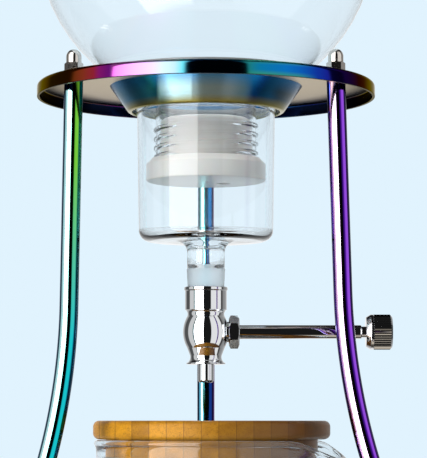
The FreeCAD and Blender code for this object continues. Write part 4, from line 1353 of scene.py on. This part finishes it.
@dataclass
class DripChamber:
    """Glass chamber with a flared rim, an outlet tube and a ground joint."""

    stand: Stand
    radius: float = 30.0
    low_r: float = 29.1
    wall: float = 1.8
    floor: float = 2.5
    bottom: float = 204.7
    corner_r: float = 5.0
    bend_r: float = 3.0
    flare: float = 3.5
    rim_round: float = 0.8
    outlet_r: float = 8.15
    outlet_round: float = 4.5
    inlet_round: float = 2.5
    bore_r: float = 6.3
    joint_top: float = 192.7
    joint_end: float = 176.0
    joint_round: float = 0.5
    joint_step: float = 0.3
    joint_r: Place = (8.3, 7.465)
    narrowing: Place = (1.5, 1.0)
    joint_bore_r: float = 5.2
    ground_outside: float = 7.3
    seat_gap: float = 0.3

    def build(self) -> None:
        """Models and dresses the chamber."""
        glass = BorosilicateGlass("chamber", self.joint_top, self.ground_outside).make()
        place(self.chamber(), "chamber", "clear_glass", glass, "drip_chamber_glass")

    def chamber(self) -> Mesh:
        """Blown chamber on its seat in the funnel.

        Returns:
            The chamber.
        """
        rest = self.stand.sheet + self.stand.seat_thick + self.seat_gap
        on_slope = self.stand.on_slope

        def up_to(radius: float, inward: float) -> float:
            """Distance up the funnel at which the slope reaches a radius."""
            start, unit = on_slope(0, inward)[0], on_slope(1, inward)[0]
            return (radius - start) / (unit - start)

        bend, bend_in = up_to(self.radius, rest), up_to(self.radius - self.wall, rest + self.wall)
        rim, (drop, ease) = bend + self.bend_r + self.flare, self.narrowing
        floor, inner_low = self.bottom + self.floor, self.low_r - self.wall
        return soften(turn("chamber", [
            on_slope(bend, rest) + (self.bend_r,), on_slope(rim, rest) + (self.rim_round,),
            on_slope(rim, rest + self.wall) + (self.rim_round,),
            on_slope(bend_in, rest + self.wall) + (self.bend_r - 1,),
            (inner_low, floor, self.corner_r - self.wall), (self.bore_r, floor, self.inlet_round),
            (self.bore_r, self.joint_top + drop, ease), (self.joint_bore_r, self.joint_top, ease),
            (self.joint_bore_r, self.joint_end, self.joint_round),
            (self.joint_r[1], self.joint_end, self.joint_round), (self.joint_r[0], self.joint_top),
            (self.outlet_r, self.joint_top + self.joint_step), (self.outlet_r, self.bottom, self.outlet_round),
            (self.low_r, self.bottom, self.corner_r)], steps=144))


@dataclass
class NeedleValve:
    """Chromed needle valve: barrel-shaped body, gland nut, long spindle and knurled knob."""

    axis: float = 165.5
    nut_x: Place = (9.9, 14.5)
    nut_corner_r: float = 7.2
    nut_chamfer: Place = (1.3, 0.8)
    boss_r: float = 4.5
    boss_end: float = 12.6
    stem_r: float = 3.0
    stem_x: Place = (6.6, 67.3)
    needle_tip: Place = (0.3, 0.2)
    needle_end: Place = (1.4, 3.5)
    groove: tuple[float, float, float] = (2.0, 7.45, 8.55)
    neck_r: float = 2.4
    shank_r: float = 2.0
    shank_end: float = 78.5
    knob_x: Place = (69.2, 80.5)
    knurl_x: float = 72.6
    knob_r: float = 7.6
    knurl_teeth: int = 44
    knurl_depth: float = 0.35
    knob_chamfer: float = 0.9
    waist: Place = (0.5, 0.3)
    shoulder_top: Place = (1.4, 0.6)
    shoulder_foot: Place = (1.2, 0.3)
    set_screw_r: float = 1.5

    def build(self) -> None:
        """Models and dresses the valve."""
        chrome, ptfe = ChromePlate().make(), Ptfe().make()
        for node in ("valve_body", "drip_nozzle"):
            dress(node, chrome)
        for node in ("needle_seat", "packing_ring"):
            dress(node, ptfe)
        dress("socket_washer", Silicone().make())
        dress("stem_o_ring", Rubber().make())
        dress("knob_set_screw", BrushedSteel().make())
        place(self.gland_nut(), "valve", "chrome_plate", chrome, "packing_nut")
        place(self.spindle(), "spindle", "chrome_plate", chrome, "valve_spindle")
        place(self.knob(), "spindle", "chrome_plate", chrome, "knurled_knob")

    def gland_nut(self) -> Mesh:
        """Hexagonal nut on the body's boss, a corner down.

        Returns:
            The nut.
        """
        low, high = self.nut_x
        height, corner, (across, down) = high - low, self.nut_corner_r, self.nut_chamfer
        play = 0.1
        nut = prism(6, corner, 0, height)
        combine(nut, turn("bevel", [
            (0, 0), (corner - across, 0), (corner, down), (corner, height - down), (corner - across, height),
            (0, height)]), Shape.COMMON)
        combine(nut, drill(self.boss_r, -1, self.boss_end + play - low), Shape.CUT)
        combine(nut, drill(self.stem_r + play / 2, -1, height + 1), Shape.CUT)
        nut.name = "gland_nut"
        return soften(lay_along_x(nut, low, self.axis), 20)

    def spindle(self) -> Mesh:
        """Needle, stem with its O-ring groove, and long rod, necked down for the knob.

        Returns:
            The spindle.
        """
        start, end = self.stem_x
        groove_r, low, high = self.groove
        spindle = turn("spindle", [
            (0, self.needle_tip[1]), self.needle_tip, self.needle_end, (self.needle_end[0], start),
            (self.stem_r, start, 0.2), (self.stem_r, low), (groove_r, low), (groove_r, high),
            (self.stem_r, high), (self.stem_r, end, 0.5), (self.neck_r, end, 0.3),
            (self.neck_r, self.knob_x[0]), (self.shank_r, self.knob_x[0]), (self.shank_r, self.shank_end),
            (0, self.shank_end)], steps=64)
        return soften(lay_along_x(spindle, 0, self.axis))

    def knob(self) -> Mesh:
        """Knob with a polished shoulder, a straight knurl and a tapped hole for its set screw.

        Returns:
            The knob.
        """
        low, high = self.knob_x
        radius, knurl = self.knob_r, self.knurl_x
        knob = prism(2 * self.knurl_teeth, radius, knurl, high)
        step = math.radians(180 / self.knurl_teeth)
        pick(knob, lambda co: round(math.atan2(co.y, co.x) / step) % 2 == 1)
        share = 1 - self.knurl_depth / radius
        bpy.ops.transform.resize(value=(share, share, 1))
        bpy.ops.object.mode_set(mode="OBJECT")
        combine(knob, turn("grip", [
            (0, knurl), (radius, knurl), (radius, high - self.knob_chamfer),
            (radius - self.knob_chamfer, high), (0, high)], steps=176), Shape.COMMON)
        (in_at_foot, foot_round), (below, top_round) = self.shoulder_foot, self.shoulder_top
        cut_in, down = self.waist
        combine(knob, turn("shoulder", [
            (0, low), (radius - in_at_foot, low, foot_round), (radius, knurl - below, top_round),
            (radius, knurl - down), (radius - cut_in, knurl), (0, knurl)], steps=176), Shape.UNION)
        combine(knob, drill(self.shank_r, low - 1, self.shank_end), Shape.CUT)
        tapping = drill(self.set_screw_r, 0, radius + 1)
        tapping.rotation_euler.x = -math.pi / 2
        tapping.location.z = (knurl + high) / 2 * MM
        combine(knob, settle(tapping), Shape.CUT)
        knob.name = "knob"
        return soften(lay_along_x(knob, 0, self.axis), 24)


@dataclass
class Carafe:
    """Glass carafe with a pulled spout, its bamboo lid and the filter cup in the lid."""

    centre_x: float = 2.5
    radius: float = 49.8
    wall: float = 1.7
    floor: float = 2.2
    corner_r: float = 12.0
    rim: float = 119.0
    bead_r: float = 1.4
    bead_inset: float = 0.25
    base_r: float = 36.0
    base_step: float = 0.15
    spout_angle: float = -14.9
    spout_root: float = 88.0
    spout_reach: float = 9.3
    spout_power: float = 2.2
    spout_half: float = 37.7
    dip_start: float = 43.9
    dip_slope: float = 0.56
    dip_softness: float = 2.9
    row_height: float = 1.5
    row_count: int = 19
    bead_arc: tuple[float, float, float] = (-45, 85, 215)
    lid_top: float = 127.3
    lid_bottom: float = 119.3
    lid_r: float = 51.1
    lid_edge_r: float = 2.6
    plug_r: float = 45.7
    plug_bottom: float = 104.6
    hole_r: float = 30.2
    recess: Place = (34.0, 1.8)
    groove: tuple[float, float, float] = (44.2, 107.6, 111.8)
    seal_r: Place = (46.0, 47.5)
    seal_play: float = 0.1
    fin_z: Place = (0.5, 1.1)
    cup_r: float = 29.9
    cup_wall: float = 0.5
    cup_rim_r: float = 33.7
    cup_rim_thick: float = 1.0
    cup_inturn: float = 2.5
    cup_bottom: float = 75.0

    def build(self) -> None:
        """Models and dresses the carafe, the lid and the filter."""
        place(self.glass(), "carafe", "clear_glass", BorosilicateGlass("carafe").make(), "carafe_glass")
        place(self.lid(), "lid", "bamboo", LaminatedBamboo().make(), "bamboo_lid")
        place(self.seal(), "lid", "clear_silicone", Silicone().make(), "lid_seal_ring")
        steel = BrushedSteel().make()
        place(self.cup(), "filter", "stainless", steel, "filter_cup")
        dress("filter_screen", steel)

    def settle_on_axis(self, piece: Mesh) -> Mesh:
        """Moves a turned piece to the carafe's own axis."""
        piece.location.x = self.centre_x * MM
        return soften(settle(piece))

    def swell(self, angle: float, z: float) -> float:
        """How far the pulled lip swells out of the round wall.

        Args:
            angle: angle from the spout in degrees.
            z: height in millimetres.

        Returns:
            The swell in millimetres.
        """
        angle = (angle + 180) % 360 - 180
        if z <= self.spout_root or abs(angle) >= self.spout_half:
            return 0.0
        rise = (z - self.spout_root) / (self.rim - self.spout_root)
        across = math.cos(math.pi / 2 * angle / self.spout_half) ** 2
        return self.spout_reach * rise ** self.spout_power * across

    def dip(self, x: float) -> float:
        """How far the lip's edge lies below the rim at a distance towards the spout."""
        past = x - self.dip_start
        return self.dip_slope * (past + math.hypot(past, self.dip_softness)) / 2

    def glass(self) -> Mesh:
        """Blown glass with round bottom corners and a bead round its rim, its lip pulled into a spout.

        Returns:
            The glass.
        """
        inner_r = self.radius - self.wall
        bead = Vector((inner_r + self.bead_r - self.bead_inset, self.rim - self.bead_r))

        def on_bead(turned: float) -> Place:
            """Place on the bead's section."""
            x, z = polar(self.bead_r, turned)
            return bead.x + x, bead.y + z

        rows = [self.spout_root + self.row_height * i for i in range(self.row_count)]
        bead_start, bead_top, bead_end = self.bead_arc
        corner, corner_in = self.radius - self.corner_r, self.corner_r - self.wall
        lean, lean_in = self.corner_r * math.sqrt(0.5), corner_in * math.sqrt(0.5)
        step = self.base_step
        glass = turn("carafe", [
            (0, 0), (self.base_r, 0), (self.base_r, step), (corner, step),
            (corner + lean, step + self.corner_r - lean, "via"), (self.radius, step + self.corner_r),
            *((self.radius, z) for z in rows), on_bead(bead_start), on_bead(bead_top) + ("via",),
            on_bead(bead_end), *((inner_r, z) for z in reversed(rows)), (inner_r, self.floor + corner_in),
            (corner + lean_in, self.floor + corner_in - lean_in, "via"), (corner, self.floor),
            (0, self.floor)], steps=240)
        for vertex in glass.data.vertices:
            x, y, z = vertex.co / MM
            if z > self.spout_root:
                angle = math.degrees(math.atan2(y, x))
                share = 1 + self.swell(angle, z) / math.hypot(x, y)
                lowered = self.dip(x * share) * ((z - self.spout_root) / (self.rim - self.spout_root)) ** 2
                vertex.co = Vector((x * share, y * share, z - lowered)) * MM
        glass.rotation_euler.z = math.radians(self.spout_angle)
        return self.settle_on_axis(glass)

    def lid(self) -> Mesh:
        """Turned lid with a plug, a groove for its seal and a recessed hole for the cup.

        Returns:
            The lid.
        """
        recess_r, depth = self.recess
        groove_r, low, high = self.groove
        return self.settle_on_axis(turn("lid", [
            (self.hole_r, self.plug_bottom, 0.5), (self.plug_r, self.plug_bottom, 1.5), (self.plug_r, low),
            (groove_r, low), (groove_r, high), (self.plug_r, high), (self.plug_r, self.lid_bottom),
            (self.lid_r, self.lid_bottom, self.lid_edge_r), (self.lid_r, self.lid_top, self.lid_edge_r),
            (recess_r, self.lid_top, 0.4), (recess_r, self.lid_top - depth),
            (self.hole_r, self.lid_top - depth, 0.3)], steps=192))

    def seal(self) -> Mesh:
        """Ring with two fins in the lid's groove.

        Returns:
            The seal.
        """
        groove_r, low, high = self.groove
        low, high, (root_r, fin_r) = low + self.seal_play, high - self.seal_play, self.seal_r
        begin, end = self.fin_z
        return self.settle_on_axis(turn("seal", [
            (groove_r, low), (root_r, low), (fin_r, low + begin, 0.3), (fin_r, low + end, 0.3),
            (root_r, (low + high) / 2), (fin_r, high - end, 0.3), (fin_r, high - begin, 0.3), (root_r, high),
            (groove_r, high)], steps=144))

    def cup(self) -> Mesh:
        """Thin steel cup with a rim in the lid's recess and an inturned foot.

        Returns:
            The cup.
        """
        play, edge = 0.1, 0.4
        rim = self.lid_top - self.recess[1] + play
        top, floor = rim + self.cup_rim_thick, self.cup_bottom + self.cup_wall
        inner = self.cup_r - self.cup_wall
        foot = inner - self.cup_inturn
        return self.settle_on_axis(turn("cup", [
            (self.cup_r, rim), (self.cup_rim_r, rim, edge), (self.cup_rim_r, top, edge), (inner, top, edge),
            (inner, floor), (foot, floor), (foot, self.cup_bottom), (self.cup_r, self.cup_bottom, 0.3)],
            steps=128))


# ---------------------------------------------------------------- studio

@dataclass
class Studio:
    """Pale floor, soft diffuse lamps, strip lights for metal and glass to mirror, and the camera."""

    backdrop: str = "#E1F3FE"
    floor_r: float = 1.5
    bench: str = "#8C8478"
    strip_peak: float = 6.0
    soft_level: float = 0.36
    # Degrees up at which the walls fade into the ceiling, and down at which the bench takes over.
    ceiling_up: Place = (49, 72)
    ceiling_droop: float = 0.5
    ceiling_share: float = 0.015
    bench_down: Place = (50, 57)
    floor_fade: Place = (0.55, 0.98)
    lamp_aim: float = 0.2
    camera_y: float = -0.990
    camera_z: float = 0.128
    lens: float = 179.76
    pitch: float = 4.75
    yaw: float = 0.19

    def build(self) -> None:
        """Sets the studio up."""
        scene = bpy.context.scene
        scene.view_settings.view_transform = "Standard"
        self.add_world()
        self.add_floor()
        self.add_lamp("key_lamp", (-2.1, -1.2, 0.75), 48.0, 1.1, "#FFFFFF")
        self.add_lamp("top_lamp", (0.3, 0.3, 2.6), 26.0, 1.4, "#FFFFFF")
        self.add_lamp("fill_lamp", (1.7, -0.9, 0.6), 5.0, 0.9, "#FFE8CC")
        lens = bpy.data.cameras.new("camera")
        lens.lens, lens.sensor_width, lens.clip_start = self.lens, 36.0, 0.01
        camera = bpy.data.objects.new("camera", lens)
        camera.location = (0, self.camera_y, self.camera_z)
        camera.rotation_euler = (math.radians(90 + self.pitch), 0, -math.radians(self.yaw))
        bpy.context.collection.objects.link(camera)
        scene.camera = camera

    def mirrored(self) -> list[Place]:
        """Brightness that metal mirrors, by the angle in degrees from the front towards +X."""
        return [
            (-180, 1.0), (-170, 0.92), (-158, 0.6), (-138, 0.4), (-130, 0.1), (-103, 0.12), (-99, 0.8),
            (-65.5, 0.8), (-64, self.strip_peak), (-14.5, self.strip_peak), (-13, 0.012), (27, 0.012),
            (28.5, 1.05), (90, 1.05), (93, 0.08), (104, 0.08), (108, 0.3), (132, 0.4), (158, 0.6), (170, 0.92),
            (180, 1.0)]

    def bench_glow(self) -> list[Place]:
        """Brightness of the bench that metal mirrors below it, by the same angle."""
        return [
            (-180, 0.4), (-100, 0.25), (-92, 0.25), (-90, 3.2), (-36, 3.2), (-34, 2.6), (60, 2.4), (88, 0.6),
            (140, 0.25), (180, 0.4)]

    def spread(self, tree: bpy.types.NodeTree, share: bpy.types.Node,
               stops: list[Place]) -> bpy.types.Node:
        """Adds a ramp of brightness round the tower.

        Args:
            tree: the world's tree.
            share: the angle round the tower, 0 to 1 from the back to the back.
            stops: angles in degrees and brightnesses up to the strip lights' peak.

        Returns:
            The ramp, whose brightness is divided by the peak.
        """
        levels = [(angle / 360 + 0.5, level / self.strip_peak) for angle, level in stops]
        return add(tree, "ValToRGB", {0: share}, levels)

    def add_world(self) -> None:
        """Backdrop for the eye, strip lights for reflections, and an even light for everything else."""
        world = bpy.data.worlds.new("studio")
        world.use_nodes = True
        bpy.context.scene.world = world
        tree = world.node_tree
        tree.nodes.clear()
        way = add(tree, "SeparateXYZ", {0: add(tree, "TexCoord").outputs["Generated"]}).outputs
        forward = add(tree, "Math", {0: way[1], 1: -1.0}, operation="MULTIPLY")
        round_angle = add(tree, "Math", {0: way[0], 1: forward}, operation="ARCTAN2")
        share = add(tree, "MapRange", {"Value": round_angle, "From Min": -math.pi, "From Max": math.pi})
        # The ceiling is dark. Behind the tower it comes down lower, to between 16 and 32 degrees.
        behind = add(tree, "Math", {0: way[1], 1: 0.0}, operation="MAXIMUM")
        height = add(tree, "Math", {0: behind, 1: self.ceiling_droop, 2: way[2]}, operation="MULTIPLY_ADD")
        wall_top, ceiling = (math.sin(math.radians(up)) for up in self.ceiling_up)
        fade = add(tree, "MapRange", {
            "Value": height, "From Min": wall_top, "From Max": ceiling, "To Min": self.strip_peak,
            "To Max": self.ceiling_share * self.strip_peak})
        walls = self.spread(tree, share, self.mirrored())
        upright = add(tree, "Background", {"Color": walls, "Strength": fade})
        glow = self.spread(tree, share, self.bench_glow())
        lit_bench = add(tree, "Mix", {0: 1.0, 6: self.bench, 7: glow}, data_type="RGBA", blend_type="MULTIPLY")
        bench = add(tree, "Background", {"Color": lit_bench, "Strength": self.strip_peak})
        wall_foot, below = (-math.sin(math.radians(down)) for down in self.bench_down)
        under = add(tree, "MapRange", {"Value": way[2], "From Min": wall_foot, "From Max": below})
        strips = add(tree, "MixShader", {0: under, 1: upright, 2: bench})
        plain = add(tree, "Background", {"Color": self.backdrop, "Strength": 1.0})
        even = add(tree, "Background", {"Color": "#FFFFFF", "Strength": self.soft_level})
        path = add(tree, "LightPath").outputs
        seen = add(tree, "Math", {
            0: path["Is Camera Ray"], 1: path["Is Transmission Ray"]}, operation="MAXIMUM")
        lit = add(tree, "MixShader", {0: path["Is Glossy Ray"], 1: even, 2: strips})
        mixed = add(tree, "MixShader", {0: seen, 1: lit, 2: plain})
        add(tree, "OutputWorld", {"Surface": mixed})

    def add_floor(self) -> None:
        """Pale round table top that fades into the backdrop at its edge."""
        deselect()
        bpy.ops.mesh.primitive_circle_add(vertices=96, radius=self.floor_r, fill_type="NGON")
        floor = bpy.context.object
        floor.name = "floor"
        material, tree = clear_material("pale_floor")
        place_of = add(tree, "TexCoord").outputs["Object"]
        out = add(tree, "VectorMath", {0: place_of}, operation="LENGTH")
        begin, end = self.floor_fade
        fade = add(tree, "MapRange", {
            "Value": out, "From Min": begin * self.floor_r, "From Max": end * self.floor_r})
        cloud = add(tree, "TexNoise", {"Vector": place_of, "Scale": 6.0})
        colour = add(tree, "Mix", {0: cloud, 6: "#DCEBF4", 7: "#E4F0F7"}, data_type="RGBA")
        top = add(tree, "BsdfPrincipled", {"Base Color": colour, "Roughness": 0.8})
        gone = add(tree, "BsdfTransparent")
        mixed = add(tree, "MixShader", {0: fade, 1: top, 2: gone})
        add(tree, "OutputMaterial", {"Surface": mixed})
        floor.data.materials.append(material)
        floor.visible_glossy = False

    def add_lamp(self, name: str, place_of: tuple[float, float, float], power: float, size: float,
                 colour: str) -> None:
        """Adds a soft lamp, aimed at the tower, that lights matt surfaces and isn't mirrored.

        Args:
            name: the lamp's name.
            place_of: its place in metres.
            power: its power in watts.
            size: its side in metres.
            colour: its colour as sRGB hex.
        """
        light = bpy.data.lights.new(name, "AREA")
        light.energy, light.size, light.color = power, size, linear(colour)[:3]
        lamp = bpy.data.objects.new(name, light)
        lamp.location = place_of
        back = Vector(place_of) - Vector((0, 0, self.lamp_aim))
        lamp.rotation_euler = back.to_track_quat("Z", "Y").to_euler()
        lamp.visible_glossy = lamp.visible_camera = lamp.visible_transmission = False
        bpy.context.collection.objects.link(lamp)


def main() -> None:
    """Builds the tower on its CAD frame, one sub-assembly after another, and the studio round it."""
    logging.basicConfig(level=logging.INFO, format="%(name)s: %(message)s")
    for start_up in list(bpy.data.objects):
        bpy.data.objects.remove(start_up)
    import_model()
    stand = Stand()
    for assembly in (stand, WaterGlobe(), DripChamber(stand), NeedleValve(), Carafe()):
        assembly.build()
        LOG.info("%s is built", type(assembly).__name__)
    Studio().build()


if __name__ == "__main__":
    main()
